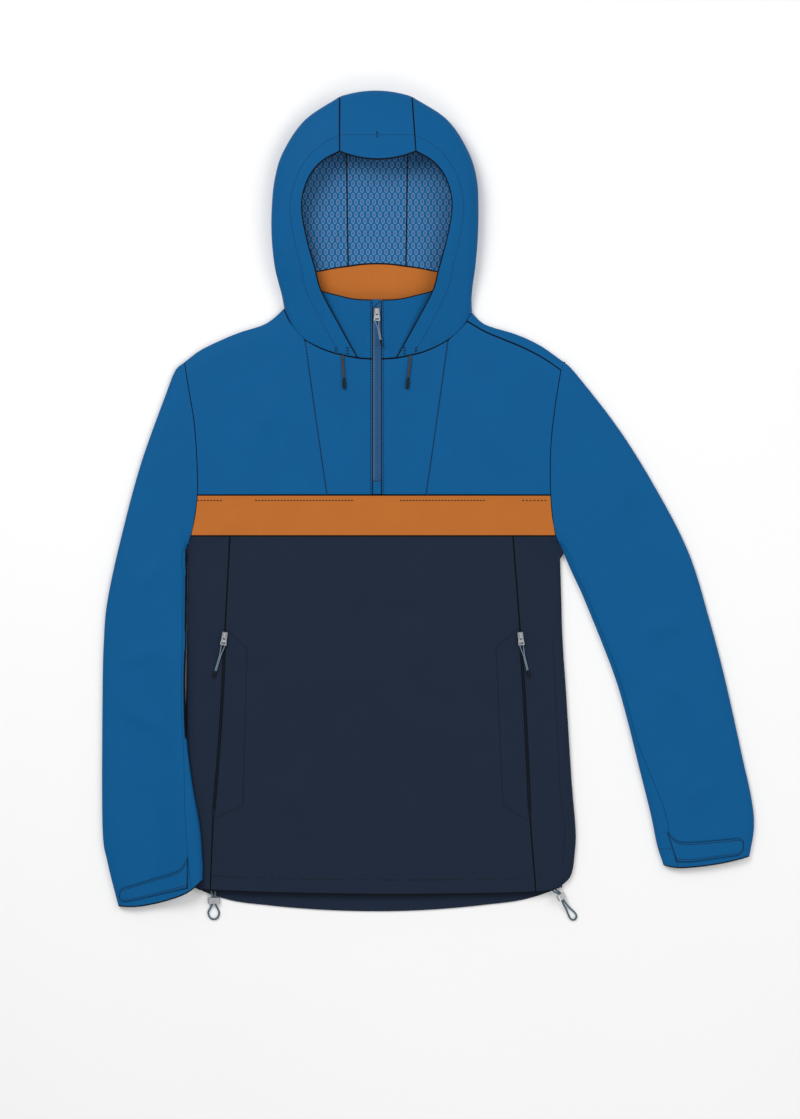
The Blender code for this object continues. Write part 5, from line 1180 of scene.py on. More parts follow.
def lower_centre():
    """Lower front between the pocket seams."""
    left, right = RIGHT.lower_points[::-1].copy(), LEFT.lower_points[::-1].copy()
    shares = np.linspace(0.0, 1.0, LOWER_COLUMNS)
    bottom = hem_part(left[0][0], right[0][0], shares)
    left[0], right[0] = bottom[0], bottom[-1]
    grid = refine(coons(bottom, straight(left[-1], right[-1], shares), left, right))[0]
    gap = {"left": slot_gap, "right": slot_gap}
    sheet = panel(BODY.top, grid, "top left right", lined="bottom", gap=gap)
    cloth("front_lower_centre", sheet, LOWER_NAVY)


def lower_side(curves):
    """Lower front between the pocket seam and the side fold."""
    outer = join(curves.armhole[BAND_END:], curves.flank_points)[::-1]
    inner = curves.lower_points[::-1].copy()
    bottom = hem_part(outer[0][0], inner[0][0], SIDE_HEM_SHARES)
    outer[0], inner[0] = bottom[0], bottom[-1]
    top = straight(outer[-1], inner[-1], SIDE_TOP_SHARES)
    grid = refine(coons(bottom, top, outer, inner))[0]
    grid = on_fold(BODY, grid, "left")
    sheet = panel(BODY.top, grid, "top right left", lined="bottom", gap={"right": slot_gap})
    line_where(sheet, "left", lambda spots: spots[..., 1] > SIDE_LINE_ENDS[curves.side])
    cloth("front_lower_side_" + curves.side, sheet, LOWER_NAVY)


def beside(first, second, at_column, from_row):
    """One grid from two: the second one's first column is the first one's at_column.

    The second one's rows lie beside the first one's rows from from_row on.
    """
    rows = first.points.shape[0]
    extra = second.points.shape[1] - 1

    def widened(name):
        left, right = getattr(first, name), getattr(second, name)
        filler = np.repeat(left[:, -1:], extra, axis=1)
        grid = np.concatenate([left, filler], axis=1)
        grid[from_row:, at_column + 1:] = right[:, 1:]
        return grid

    normals = widened("normals")
    fold = unit(first.normals[from_row:, -1] + second.normals[:, 0])
    normals[from_row:, at_column] = fold
    active = np.ones((rows - 1, at_column + extra), dtype=bool)
    active[:from_row, at_column:] = False
    return Sheet(widened("points"), normals, widened("dark"), active)


def back_yoke():
    """Upper back on the surface, turned up at its folds and over the left shoulder."""
    left, right = (c.back_armhole[:-1][::-1] for c in (RIGHT, LEFT))
    shares = np.linspace(0.0, 1.0, CENTRE_INTERVALS + 1)
    centre = straight(RIGHT.back_neck[-1], LEFT.back_neck[-1], shares)
    centre[:, 1] = np.interp(centre[:, 0], *fine(BACK_NECK).T)
    right_shoulder = evenly(RIGHT.shoulder, SHOULDER_INTERVALS)
    left_shoulder = evenly(LEFT.shoulder, SHOULDER_INTERVALS)[::-1]
    top = join(right_shoulder, RIGHT.back_neck, centre, LEFT.back_neck[::-1], left_shoulder)
    last = len(top) - 1
    bottom = straight(left[0], right[0], np.linspace(0.0, 1.0, last + 1))
    bottom[1], bottom[-2] = left[0] + (BACK_STEP, 0.0), right[0] - (BACK_STEP, 0.0)
    grid, _, steps = refine(coons(bottom, top, left, right))
    over_neck, over_arm = LEFT.neck[:FORWARD_STEP + 1], LEFT.armhole[:FORWARD_STEP + 1]
    seam = evenly(forward_seam(), SHOULDER_INTERVALS)[::-1]
    strip = coons(left_shoulder, seam, over_neck, over_arm)
    strip = refine(strip, None, steps[-SHOULDER_INTERVALS:])[0]
    under = panel(BODY.bottom, on_fold(BODY, grid, "top"), "bottom", "left", outward=DOWN)
    over = panel(BODY.top, on_fold(BODY, strip, "bottom"), "top")
    cut = len(under.points[0]) - len(over.points[0])
    turned = [Sheet(part.points.swapaxes(0, 1), part.normals.swapaxes(0, 1), part.dark.T)
              for part in (under, over)]
    sheet = beside(turned[0], turned[1], under.points.shape[0] - 1, cut)
    cloth("back_yoke", sheet, SHELL_BLUE)


def back_lower():
    """Lower back on the surface, with the dropped tail."""
    left, right = (join(c.back_armhole[-2:], c.flank_points)[::-1].copy() for c in (RIGHT, LEFT))
    tail = fine(TAIL)
    across = left[0][0] + (right[0][0] - left[0][0]) * TAIL_SHARES
    bottom = np.stack([across, np.interp(across, tail[:, 0], tail[:, 1])], axis=1)
    left[0], right[0] = bottom[0], bottom[-1]
    grid = refine(coons(bottom, straight(left[-1], right[-1], TAIL_SHARES), left, right))[0]
    grid = on_fold(BODY, grid, "left right")
    sheet = panel(BODY.bottom, grid, "top", "left right", "bottom", outward=DOWN)
    cloth("back_lower", sheet, LOWER_NAVY)


# ---------------------------------------------------------------------- sleeves

def turned_seam(curves):
    """Plan line of the seam that the under sleeve reaches after turning over the inner fold."""
    fold = evenly(curves.sleeve_in, LINE_SAMPLES)
    direction = unit(np.gradient(fold, axis=0))
    inward = np.stack([direction[:, 1], -direction[:, 0]], axis=1)
    inward *= np.sign(curves.sign * inward[:, :1])
    share = np.linspace(0.0, 1.0, len(fold))
    turn = NOTCH + (CUFF_TURN - NOTCH) * smoothstep((share - TURN_WIDENS[0]) / TURN_WIDENS[1])
    return fold + inward * turn[:, None]


def from_underarm(curve):
    """Stations along the sleeve's inner side, the first one just below the underarm."""
    rest = np.linspace(UNDERARM_STEP, arc_lengths(curve)[-1], SLEEVE_INTERVALS)
    return at_lengths(curve, [0.0, *rest])


def sleeve(curves):
    """Top and under sleeve: the under one turns up over the inner fold to the seam on top."""
    region = SLEEVES[curves.side]
    corner = SLEEVE_CORNERS[curves.side]
    front, back = curves.sleeve_armhole[:-1], curves.back_sleeve_armhole
    extra = len(front) - 1 - corner
    outer = evenly(curves.sleeve_out, SLEEVE_INTERVALS + extra)
    seam = from_underarm(turned_seam(curves))
    inner = from_underarm(curves.sleeve_in)
    width = arc_lengths(curves.cuff)[-1]
    flat = width - CUFF_TURN

    end = at_lengths(curves.cuff, flat * eased(flat, corner))
    seam[0], seam[-1] = front[-1], end[-1]
    outer[0], outer[-1] = front[0], end[0]
    plan = coons(front[:corner + 1], end, outer, join(front[corner:], seam), SLEEVE_SETTLE)
    grid = on_fold(region, refine(plan)[0], "left")
    sheet = panel(region.top, grid, "", "bottom left right", lined="top")
    cloth("sleeve_top_" + curves.side, sheet, SHELL_BLUE)

    inner[0], inner[-1] = back[-1], curves.cuff[-1]
    others = corner + 1 - 2 * len(CUFF_STEPS)
    middle = np.linspace(CUFF_MIDDLE[0] * width, width - CUFF_MIDDLE[1], others)
    lengths = [*CUFF_STEPS, *middle, *(width - step for step in reversed(CUFF_STEPS))]
    end = at_lengths(curves.cuff, lengths)
    plan = coons(back[:corner + 1], end, outer, join(back[corner:], inner), SLEEVE_SETTLE)
    notch = straight(curves.sleeve_armhole[-1], front[-1], NOTCH_SHARES)
    turn = at_lengths(curves.cuff, width - CUFF_TURN * NOTCH_SHARES)
    low, steps, _ = refine(plan)
    high = refine(coons(notch, turn, inner, seam), steps[extra:])[0]
    low, high = on_fold(region, low, "left right"), on_fold(region, high, "left")
    under = panel(region.bottom, low, "", "left", lined="top", outward=DOWN, guides={"top": -1})
    over = panel(region.top, high, "", "right", lined="top", guides={"top": 0})
    sheet = beside(under, over, under.points.shape[1] - 1, int(sum(steps[:extra])))
    # painted shade along the right sleeve's inner fold, in the gap beside the body
    if curves is RIGHT:
        painted_shade_on_fold(sheet, curves.sleeve_in)
    cloth("sleeve_under_" + curves.side, sheet, SHELL_BLUE)


# ------------------------------------------------------------------------- hood

def hood_section(row):
    """One section: face edge, roll to the side fold, roll under it, and run to the seat."""
    face, fold, seat = row[0:3], row[3:6], np.array([row[6], row[7], 0.0])
    points = []
    for k in range(FOLD_STATIONS + 1):
        angle = math.radians(90.0 * (1.0 - k / FOLD_STATIONS))
        plan = fold[:2] + (face[:2] - fold[:2]) * (1.0 - math.cos(angle))
        points.append([*plan, fold[2] + (face[2] - fold[2]) * math.sin(angle)])
    toward = seat[:2] - fold[:2]
    reach = np.linalg.norm(toward)
    radius = min(UNDER + (fold[2] - EDGE) * UNDER_ROLL_SHARE, UNDER_ROLL_MOST * reach)
    for k in range(1, UNDER_STATIONS + 1):
        angle = math.radians(90.0 * k / UNDER_STATIONS)
        plan = fold[:2] + toward / reach * radius * (1.0 - math.cos(angle))
        points.append([*plan, fold[2] * (1.0 - math.sin(angle))])
    points.append(list(seat))
    return np.array(points)


def hood_side(curves, first, counts=None):
    """Fine grid of a side panel from a section of the table up, and its column steps."""
    last = len(HOOD_R) - 1.0
    positions = np.linspace(first, last, int((last - first) * HOOD_FINE) + 1)
    grid = np.array([hood_section(row) for row in catmull_rom(curves.hood, positions)])
    seam = np.concatenate([BODY.top(curves.neck[::-1]), BODY.bottom(curves.back_neck)[1:]])
    residue = seam - hood_section(np.array(curves.hood[0]))
    for i, position in enumerate(positions):
        grid[i] += residue * smoothstep(1.0 - position / NECK_BLEND)
    turned, counts = refine_rows(grid.swapaxes(0, 1), counts)
    grid = turned.swapaxes(0, 1)
    grid[..., 2] = np.maximum(grid[..., 2], 0.0)
    return grid, counts


def hood_sides(first):
    right, counts = hood_side(RIGHT, first)
    left, _ = hood_side(LEFT, first, counts)
    return {"R": right, "L": left}, counts


def seam_line(values):
    """Values along the centre seam: over the crown, then down the floor to the first row."""
    return np.concatenate([values[-1], values[-2::-1, -1]])


def hood_centre(right, left, counts, low_rise):
    """Fine grid of the centre panel between two side panels."""
    start, end = seam_line(right), seam_line(left)
    rows = len(start)
    fold = int(sum(counts[:FOLD_STATIONS]))
    stations = [0, fold, right.shape[1] - 1, rows - 1]
    rise = np.zeros((rows, 3))
    rise[:, 1] = np.interp(range(rows), stations, [BRIM_DIP, CROWN_RISE, CROWN_RISE, low_rise])
    rise[:, 2] = np.interp(range(rows), [0, fold], [BRIM_LIFT, 0.0])
    share = np.linspace(0.0, 1.0, CENTRE_FINE + 1)[None, :, None]
    return (start[:, None] + (end - start)[:, None] * share
            + rise[:, None] * (1.0 - (2.0 * share - 1.0) ** 2))


def as_is(grid):
    """Surface of a grid that is in space already."""
    return grid


def at_arc(lines, distances):
    """Point of each line at its distance from its first point; lines run along the second axis."""
    steps = np.linalg.norm(np.diff(lines, axis=1), axis=-1)
    walked = np.concatenate([np.zeros((len(lines), 1)), np.cumsum(steps, axis=1)], axis=1)
    return np.array([[np.interp(distances[i], walked[i], lines[i, :, k]) for k in range(3)]
                     for i in range(len(lines))])


def hood():
    """Shell of the hood in three panels; its fine grids are kept for the stitching."""
    sides, counts = hood_sides(0.0)
    centre = hood_centre(sides["R"], sides["L"], counts, NAPE_Y - SEAT_Y)
    for side, grid in sides.items():
        outward = (CURVES[side].sign, 0.0, HOOD_OUTWARD_Z)
        sheet = panel(as_is, grid, "bottom top right", lined="left", outward=outward)
        cloth("hood_side_" + side, sheet, SHELL_BLUE)
    sheet = panel(as_is, centre, "left right top", lined="bottom", outward=CENTRE_OUTWARD)
    cloth("hood_centre", sheet, SHELL_BLUE)
    return sides, centre


def facing_drop(across):
    """How far the facing's upper edge falls away from the seat, at a distance from the centre."""
    past_seat = (np.abs(across) / FACING_REACH) ** 2 - (SEAT_X / FACING_REACH) ** 2
    return FACING_FALL * np.clip(past_seat, 0.0, FACING_FALL_MOST)


def hood_lining():
    """Mesh lining inside the shell, from the neck facing up."""
    sides, counts = hood_sides(LINING_SECTION)
    for grid in sides.values():
        near = smoothstep(1.0 - np.arange(len(grid)) / FACING_BLEND)[:, None]
        grid[..., 1] -= facing_drop(grid[..., 0]) * near
    centre = hood_centre(sides["R"], sides["L"], counts, FACING_RISE)
    first = int(counts[0])
    depth = WALL + UNDERLAY
    for side, grid in sides.items():
        outward = (CURVES[side].sign, 0.0, HOOD_OUTWARD_Z)
        sheet = panel(as_is, grid[:, first:], "bottom top right", outward=outward)
        cloth("hood_lining_side_" + side, sheet, HOOD_MESH, LINING_WALL, depth)
    sheet = panel(as_is, centre[first:], "left right top", outward=CENTRE_OUTWARD)
    cloth("hood_lining_centre", sheet, HOOD_MESH, LINING_WALL, depth)


def back_neck_facing():
    """Facing on the hood's floor at the back of the neck."""
    seat_y = HOOD_R[int(LINING_SECTION)][7]
    shares = np.linspace(-1.0, 1.0, CENTRE_INTERVALS + 1)
    middle = np.stack([SEAT_X * shares, seat_y + FACING_RISE * (1.0 - shares ** 2)], axis=1)
    wing = np.stack([FACING_WING, seat_y - facing_drop(FACING_WING)], axis=1)
    top = np.vstack([wing[::-1] * (-1.0, 1.0), middle, wing])
    low = fine(BACK_NECK)
    bottom = np.stack([top[:, 0], np.interp(top[:, 0], low[:, 0], low[:, 1])], axis=1)
    rows = np.linspace(0.0, 1.0, FACING_ROWS)
    grid = refine(ruled(bottom, top, rows))[0]

    def floor_level(plan):
        return level(plan, np.full(plan.shape[:-1], WALL + UNDERLAY))

    sheet = panel(floor_level, grid, "top", free="bottom left right", outward=DOWN)
    cloth("back_neck_facing", sheet, BAND_ORANGE)


# ----------------------------------------------------------------- collar, zips

def collar_height(plan):
    """Level of the collar fronts: up from the neck seam, down where the hood covers them."""
    share = (plan[..., 1] - NECK_Y) / (COLLAR_TOP[-1][1] - NECK_Y)
    across = np.abs(plan[..., 0])
    drop = COLLAR_DROP * smoothstep((across - COLLAR_DROP_FROM) / COLLAR_DROP_OVER)
    sag = COLLAR_SAG * (across / COLLAR_SAG_AT) ** 2 * share
    return EDGE + LOFT + (COLLAR_RISE * np.clip(share, 0.0, COLLAR_SHARE_MOST) - sag) - drop


def collar_surface(plan):
    """Surface of the collar fronts."""
    return level(plan, collar_height(plan))


def collar_front(curves):
    """Half of the stand collar, between the zip and the hood's edge."""
    flip = np.array([-curves.sign, 1.0])
    top = at_lengths(fine([np.array(p) * flip for p in COLLAR_TOP]), COLLAR_STATIONS_TOP)
    bottom = np.array([np.array(p) * flip for p in COLLAR_LOW])
    rows = np.linspace(0.0, 1.0, COLLAR_ROWS)
    grid = refine(ruled(bottom, top, rows))[0]
    sheet = panel(collar_surface, grid, "bottom", lined="top", free="left")
    cloth("collar_front_" + curves.side, sheet, SHELL_BLUE)


def under_yoke(plan):
    """Level of the front zip's tape."""
    centre_line = plan * (0.0, 1.0)
    height = np.where(plan[..., 1] < NECK_Y, BODY.top(plan)[..., 2], collar_height(centre_line))
    return level(plan, height - WALL - 2 * HALF_GAP)


def zip_level(y):
    """Top of the front coil on the centre line."""
    return float(under_yoke(np.array([[0.0, y]]))[0, 2]) + COIL_RISE


def rods(centres, headings, half_lengths, radius):
    """Vertices and faces of many short round-ended rods."""
    turns = np.linspace(0.0, 2.0 * math.pi, ROD_SIDES, endpoint=False)
    aside = unit(np.cross(headings, np.where(np.abs(headings[:, 2:]) < 0.9, UP, (1.0, 0.0, 0.0))))
    lift = np.cross(headings, aside)
    rings = []
    for along, girth in ROD_RINGS:
        spot = centres + headings * (np.asarray(half_lengths)[:, None] * along)
        ring = (aside[:, None] * np.cos(turns)[None, :, None]
                + lift[:, None] * np.sin(turns)[None, :, None]) * (radius * girth)
        rings.append(spot[:, None] + ring)
    vertices = np.stack(rings, axis=1)
    count, per = len(centres), len(ROD_RINGS) * ROD_SIDES
    one = []
    for ring in range(len(ROD_RINGS) - 1):
        for side in range(ROD_SIDES):
            low, high = ring * ROD_SIDES, (ring + 1) * ROD_SIDES
            after = (side + 1) % ROD_SIDES
            one.append((low + side, low + after, high + after, high + side))
    faces = [tuple(v + k * per for v in face) for k in range(count) for face in one]
    caps = (tuple(range(ROD_SIDES))[::-1], tuple(range(per - ROD_SIDES, per)))
    faces += [tuple(v + k * per for v in cap) for k in range(count) for cap in caps]
    return vertices.reshape(-1, 3), faces


def stitches(name, lines, pitch=4.2, length=3.0, radius=0.6):
    """Rows of thread dashes along lines of points, as one piece."""
    centres, headings = [], []
    for line in lines:
        total = arc_lengths(line)[-1]
        stations = np.linspace(0.5 * length, total - 0.5 * length, max(int(total / pitch), 1))
        reach = STITCH_HALF * length
        ends = [at_lengths(line, stations + shift) for shift in (-reach, reach)]
        centres.append(0.5 * (ends[0] + ends[1]) + (0.0, 0.0, SEAM_LIFT))
        headings.append(unit(ends[1] - ends[0]))
    centres, headings = np.concatenate(centres), np.concatenate(headings)
    vertices, faces = rods(centres, headings, np.full(len(centres), 0.5 * length), radius)
    return add_piece(name, mesh_from(name, vertices, faces), THREAD)


def plan_line(start, end):
    """Plan points on a straight line."""
    return straight(start, end, np.linspace(0.0, 1.0, STITCH_SAMPLES))


def body_stitches():
    """Stitching beside the zip, on the princess seams, the band, the hem and round the pockets."""
    hem = fine(HEM)
    lines = [BODY.top(curves.yoke_seam) for curves in CURVES.values()]
    for start, end in BAND_STITCHES:
        lines.append(BODY.top(plan_line((start, BAND_STITCH_Y), (end, BAND_STITCH_Y))))
    for start, end in HEM_STITCHES:
        line = plan_line((start, 0.0), (end, 0.0))
        line[:, 1] = np.interp(line[:, 0], hem[:, 0], hem[:, 1]) + HEM_STITCH_RISE
        lines.append(BODY.top(line))
    for corners in BAG_STITCHES:
        lines += [BODY.top(plan_line(*pair)) for pair in zip(corners, corners[1:])]
    stitches("body_stitches", lines)
    zip_lines = []
    for x in (-ZIP_STITCH_X, ZIP_STITCH_X):
        zip_lines.append(BODY.top(plan_line((x, CHEST_Y), (x, NECK_Y - 1.0))))
        zip_lines.append(collar_surface(plan_line((x, NECK_Y + 1.0), (x, COLLAR_TOP[0][1]))))
    stitches("zip_stitches", zip_lines, pitch=3.6, length=2.0)
    dots = [BODY.top(plan_line(*pair)) for pair in zip(SIDE_STITCH, SIDE_STITCH[1:])]
    dots.append(SLEEVES["L"].top(plan_line(*CUFF_STITCH)))
    stitches("side_stitches", dots, pitch=3.6, length=1.8)


def hood_stitches(sides, centre):
    """Tunnel along the face edge, with its bar tacks at the crown and above the drawcords."""
    lines = []
    for grid in sides.values():
        distances = np.interp(np.arange(len(grid)) / HOOD_FINE, range(len(TUNNEL)), TUNNEL)
        lines.append(at_arc(grid, distances))
    share = np.linspace(0.0, 1.0, centre.shape[1])
    crown = at_arc(centre.swapaxes(0, 1), TUNNEL[-1] - BRIM_DIP * (1.0 - (2.0 * share - 1.0) ** 2))
    stitches("tunnel_stitches", [*lines, crown], pitch=3.4, length=1.7, radius=0.36)
    middle = crown[len(crown) // 2]
    half = np.array([0.0, CROWN_TACK_HALF, 0.0])
    tacks = [np.linspace(middle - half, middle + half, CROWN_TACK_SAMPLES)]
    for x in BARTACKS:
        side = "R" if x < 0 else "L"
        under = [f"hood_side_{side}_cloth", f"front_yoke_centre_{side}_cloth"]
        for y in BARTACK_LEVELS:
            row = level(plan_line((x - BARTACK_HALF, y), (x + BARTACK_HALF, y)),
                        np.full(STITCH_SAMPLES, EDGE + LOFT))
            tacks.append(rest_on(under, row, 0.0))
    stitches("bar_tacks", tacks, pitch=3.6, length=3.6, radius=0.8)


def tab_stitches(tabs):
    """Stitching inside the long edges of the cuff tabs."""
    lines = [tab[row] for tab in tabs for row in TAB_STITCH_ROWS]
    stitches("tab_stitches", lines, pitch=3.8, length=2.2)


def coil(name, line, half, radius, pitch, look):
    """Teeth of a closed zip along a line of points, reaching in from one side and the other."""
    stations = np.arange(0.5 * pitch, arc_lengths(line)[-1], 0.5 * pitch)
    middles = at_lengths(line, stations)
    across = unit(np.cross(np.gradient(middles, axis=0), UP))
    hand = np.where(np.arange(len(stations)) % 2, 1.0, -1.0)[:, None]
    centres = middles + across * hand * (0.25 * half)
    vertices, faces = rods(centres, across, np.full(len(stations), 0.75 * half), radius)
    return add_piece(name, mesh_from(name, vertices, faces), look)


def front_zip():
    """Tape under both edges of the yoke and collar, and the closed coil in the opening."""
    offsets = np.array([-TAPE_HALF, -COIL_HALF - 1.0, -COIL_HALF, 0.0, COIL_HALF, COIL_HALF + 1.0,
                        TAPE_HALF])
    grid = np.stack(np.meshgrid(offsets, ZIP_LEVELS), axis=-1)

    def tape_level(plan):
        inside = COIL_HALF + COIL_BED_EDGE[0] - np.abs(plan[..., :1])
        bead = COIL_BED * smoothstep(inside / COIL_BED_EDGE[1])
        return under_yoke(plan) + bead * UP

    points = tape_level(refine(grid, spacing=TAPE_SPACING)[0])
    cloth("zip_tape", unseamed(points), ZIP_TAPE, TAPE_WALL)
    top_tooth = GARAGE[0][1] - TOP_TOOTH_CLEARANCE
    shares = np.linspace(0.0, 1.0, LINE_SAMPLES)
    line = under_yoke(straight((0.0, LOW_TOOTH), (0.0, top_tooth), shares))
    coil("zip_coil", line + (0.0, 0.0, COIL_BED), *FRONT_TEETH, ZIP_TEETH)


def zip_patch(name, corners, clearance, thickness):
    """Small cloth patch over the coil, four corners given bottom row first."""
    plan = refine(np.array(corners, dtype=float).reshape(2, 2, 2), spacing=PATCH_SPACING)[0]
    middle = plan.reshape(-1, 2).mean(axis=0)
    low = zip_level(corners[0][1]) + clearance
    high = zip_level(corners[-1][1]) + clearance
    share = (plan[..., 1] - corners[0][1]) / (corners[-1][1] - corners[0][1])
    away = np.abs(plan - middle) / np.ptp(plan.reshape(-1, 2), axis=0) * 2.0
    crown = PATCH_CROWN * np.prod(1.0 - away ** 2, axis=-1)
    points = level(plan, low + (high - low) * share + thickness - PATCH_CROWN + crown)
    # the rim is painted dark: painted shade round the patch's edges
    rim = np.zeros(points.shape[:2])
    rim[0], rim[-1], rim[:, 0], rim[:, -1] = 1.0, 1.0, 1.0, 1.0
    sheet = Sheet(points, grid_normals(points, UP), rim)
    cloth(name, sheet, SHELL_BLUE, thickness - PATCH_CROWN)


def along_seam(curves, levels, shift=0.0):
    """Plan points on a pocket seam at levels, moved sideways."""
    spots = at_lengths(curves.lower_seam, [length_at_y(curves.lower_seam, y) for y in levels])
    return spots + (shift, 0.0)


def pocket_zip(curves):
    """Pocket zip under the seam, its narrow coil standing in the opening."""
    levels = np.linspace(SLOT_TOP + POCKET_TAPE_PAST, SLOT_BOTTOM - POCKET_TAPE_PAST,
                         POCKET_TAPE_LEVELS)
    grid = np.stack([along_seam(curves, levels, offset) for offset in POCKET_TAPE_OFFSETS], axis=1)
    drop = WALL + 2 * HALF_GAP
    points = BODY.top(refine(grid, spacing=TAPE_SPACING)[0]) - (0.0, 0.0, drop)
    cloth("pocket_zip_" + curves.side, unseamed(points), POCKET_TAPE, TAPE_WALL)
    span = np.linspace(SLOT_TOP - SLOT_EASE, SLOT_BOTTOM + SLOT_EASE, LINE_SAMPLES)
    line = BODY.top(along_seam(curves, span)) + (0.0, 0.0, POCKET_COIL_LIFT - drop)
    coil("pocket_coil_" + curves.side, line, *POCKET_TEETH_SIZE, POCKET_TEETH)


def pocket_bag(curves):
    """Pocket bag against the inside of the centre panel."""
    levels = np.linspace(SLOT_TOP + BAG_PAST, SLOT_BOTTOM - BAG_PAST, BAG_LEVELS)
    depth = BAG_DEPTH * smoothstep((SLOT_TOP + BAG_SLOPE_STARTS[0] - levels) / BAG_SLOPE)
    depth *= smoothstep((levels - SLOT_BOTTOM + BAG_SLOPE_STARTS[1]) / BAG_SLOPE)
    outer_side = along_seam(curves, levels, curves.sign * BAG_OUTSIDE)
    reach = curves.sign * (depth + BAG_BASE)
    inner_side = outer_side - np.stack([reach, np.zeros(BAG_LEVELS)], axis=1)
    shares = np.linspace(0.0, 1.0, BAG_COLUMNS)[None, :, None]
    plan = refine(outer_side[:, None] + (inner_side - outer_side)[:, None] * shares)[0]
    below = WALL + 2 * HALF_GAP + TAPE_WALL + UNDERLAY
    cloth("pocket_bag_" + curves.side, unseamed(BODY.top(plan)), LOWER_NAVY, LINING_WALL, below)


def rest_on(names, points, clearance):
    """Points set down onto finished pieces, with a clearance; over a gap they keep their level."""
    pieces = bmesh.new()
    for name in names:
        pieces.from_mesh(bpy.data.objects[name].data)
    tree = BVHTree.FromBMesh(pieces)
    pieces.free()
    placed = points.copy()
    for index in np.ndindex(points.shape[:-1]):
        start = Vector(points[index] * MM) + Vector((0.0, 0.0, SEARCH * MM))
        hit = tree.ray_cast(start, Vector(DOWN), (SEARCH + SAG) * MM)[0]
        if hit:
            placed[index] = np.array(hit) / MM
    return placed + (0.0, 0.0, clearance)


def cuff_tab(curves):
    """Strap tab lying on the sleeve, from near its inner fold along the cuff; its top's points."""
    upper, lower = (evenly(fine(CUFF_TABS[curves.side][edge]), TAB_COLUMNS)
                    for edge in ("upper", "lower"))
    shares = np.linspace(0.0, 1.0, TAB_ROWS)
    plan = ruled(lower, upper, shares)
    names = [f"sleeve_{part}_{curves.side}_cloth" for part in ("top", "under")]
    low = rest_on(names, SLEEVES[curves.side].top(plan), TAB_CLEARANCE)
    normals = grid_normals(low, UP)
    # the rim dips, and is painted dark as painted shade round the tab's edges
    rim = np.ones(low.shape[:2])
    rim[1:-1, 1:-1] = 0.0
    high = low + normals * (LINING_WALL - TAB_RIM_DIP * rim[..., None])
    cloth("cuff_tab_" + curves.side, Sheet(high, normals, rim), SHELL_BLUE, LINING_WALL - TAB_RIM_DIP)
    return high


# ------------------------------------------------------------- hardware, cords

def tube_mesh(name, line, radius, sides, step, relief=0.0, strands=6):
    """Tube along a line of points; relief raises crossing strands, marked as its braid."""
    count = max(int(arc_lengths(line)[-1] / step), 3)
    points = evenly(line, count)
    along = arc_lengths(points)[:, None]
    heading = unit(np.gradient(points, axis=0))
    aside = unit(np.cross(heading, UP))
    lift = np.cross(aside, heading)
    turns = np.linspace(0.0, 2.0 * math.pi, sides, endpoint=False)[None]
    twist = 2.0 * math.pi * along / BRAID_PITCH
    braid = 0.5 + 0.5 * np.sin(strands * turns + twist) * np.sin(strands * turns - twist)
    girth = radius * (1.0 - relief * braid)
    ends = np.minimum(along, along[-1] - along) / radius
    girth = girth * np.sqrt(np.clip(0.3 + ends, 0.0, 1.0))
    ring = (aside[:, None] * np.cos(turns)[..., None] + lift[:, None] * np.sin(turns)[..., None])
    vertices = (points[:, None] + ring * girth[..., None]).reshape(-1, 3)
    faces = []
    for row in range(count):
        for side in range(sides):
            low, after = row * sides, (side + 1) % sides
            faces.append((low + side, low + after, low + sides + after, low + sides + side))
    faces.append(tuple(range(sides))[::-1])
    faces.append(tuple(range(count * sides, (count + 1) * sides)))
    mesh = mesh_from(name, vertices, faces)
    mesh.attributes.new("braid", "FLOAT", "POINT").data.foreach_set("value", braid.ravel())
    return mesh


def puller(prefix, suffix, origin, turn, end, body):
    """Cord loop through the pull, its two strands run together into a moulded end."""
    end = np.array(end)
    root = np.array([0.0, PULLER_ROOT_Y, 0.0])
    heading = (end - root) / np.linalg.norm(end - root)
    stop = end - heading * (PULLER_END + 2 * HALF_GAP)
    upper, lower = [], []
    for share in PULLER_SHARES:
        opened = smoothstep(1.0 - share / PULLER_OPEN)
        spread = PULLER_TOUCH + (PULLER_SPREAD - PULLER_TOUCH) * opened
        middle = root + (stop - root) * share
        middle[2] = stop[2] * smoothstep(share)
        upper.append(middle + (-spread, 0.0, PULLER_RISE * opened))
        lower.append(middle + (spread, 0.0, -PULLER_RISE * PULLER_UNDER * opened))
    cosine, sine = math.cos(math.radians(turn)), math.sin(math.radians(turn))
    spin = np.array([[cosine, sine, 0.0], [-sine, cosine, 0.0], [0.0, 0.0, 1.0]])
    loop = fine(np.array(upper + PULLER_LOOP + lower[::-1]) @ spin + origin, 6)
    grip = np.array([end - heading * PULLER_END, end]) @ spin + origin
    name = prefix + "_puller" + suffix
    mesh = tube_mesh(name, loop, PULLER_RADIUS, **PULLER_TUBE)
    add_piece(name + "_braid", mesh, PULLER_CORD, body, (name,))
    mesh = tube_mesh(name + "_end", grip, PULLER_END_RADIUS, **GRIP_TUBE)
    add_piece(name + "_grip", mesh, BLACK_PLASTIC, body, (name + "_end",))


def pulls():
    """Cord pullers of the three zips."""
    base = zip_level(FRONT_PULL[1] + SLIDER_BLOCK[2]) + 2 * HALF_GAP - SLIDER_BLOCK[3]
    puller("zip", "", (*FRONT_PULL, base), 0.0, FRONT_PULL_END, "zip_pull_body")
    for side, (turn, end) in POCKET_PULLS.items():
        seat = BODY.top(along_seam(CURVES[side], [POCKET_PULL_Y]))[0]
        origin = seat + (0.0, 0.0, OVERLAY - SLIDER_BLOCK[3])
        puller("pocket", "_" + side, origin, turn, end, "pocket_pull_body_" + side)


def braided_cord(node, points, radius, look):
    """Braided cord in place of its CAD tube, with the points that it follows."""
    line = evenly(fine(points), CORD_POINTS)
    mesh = tube_mesh(node, line, radius, **CORD_TUBE)
    piece = add_piece(node + "_braid", mesh, look, nodes=(node,))
    return piece, (line * MM).tolist()


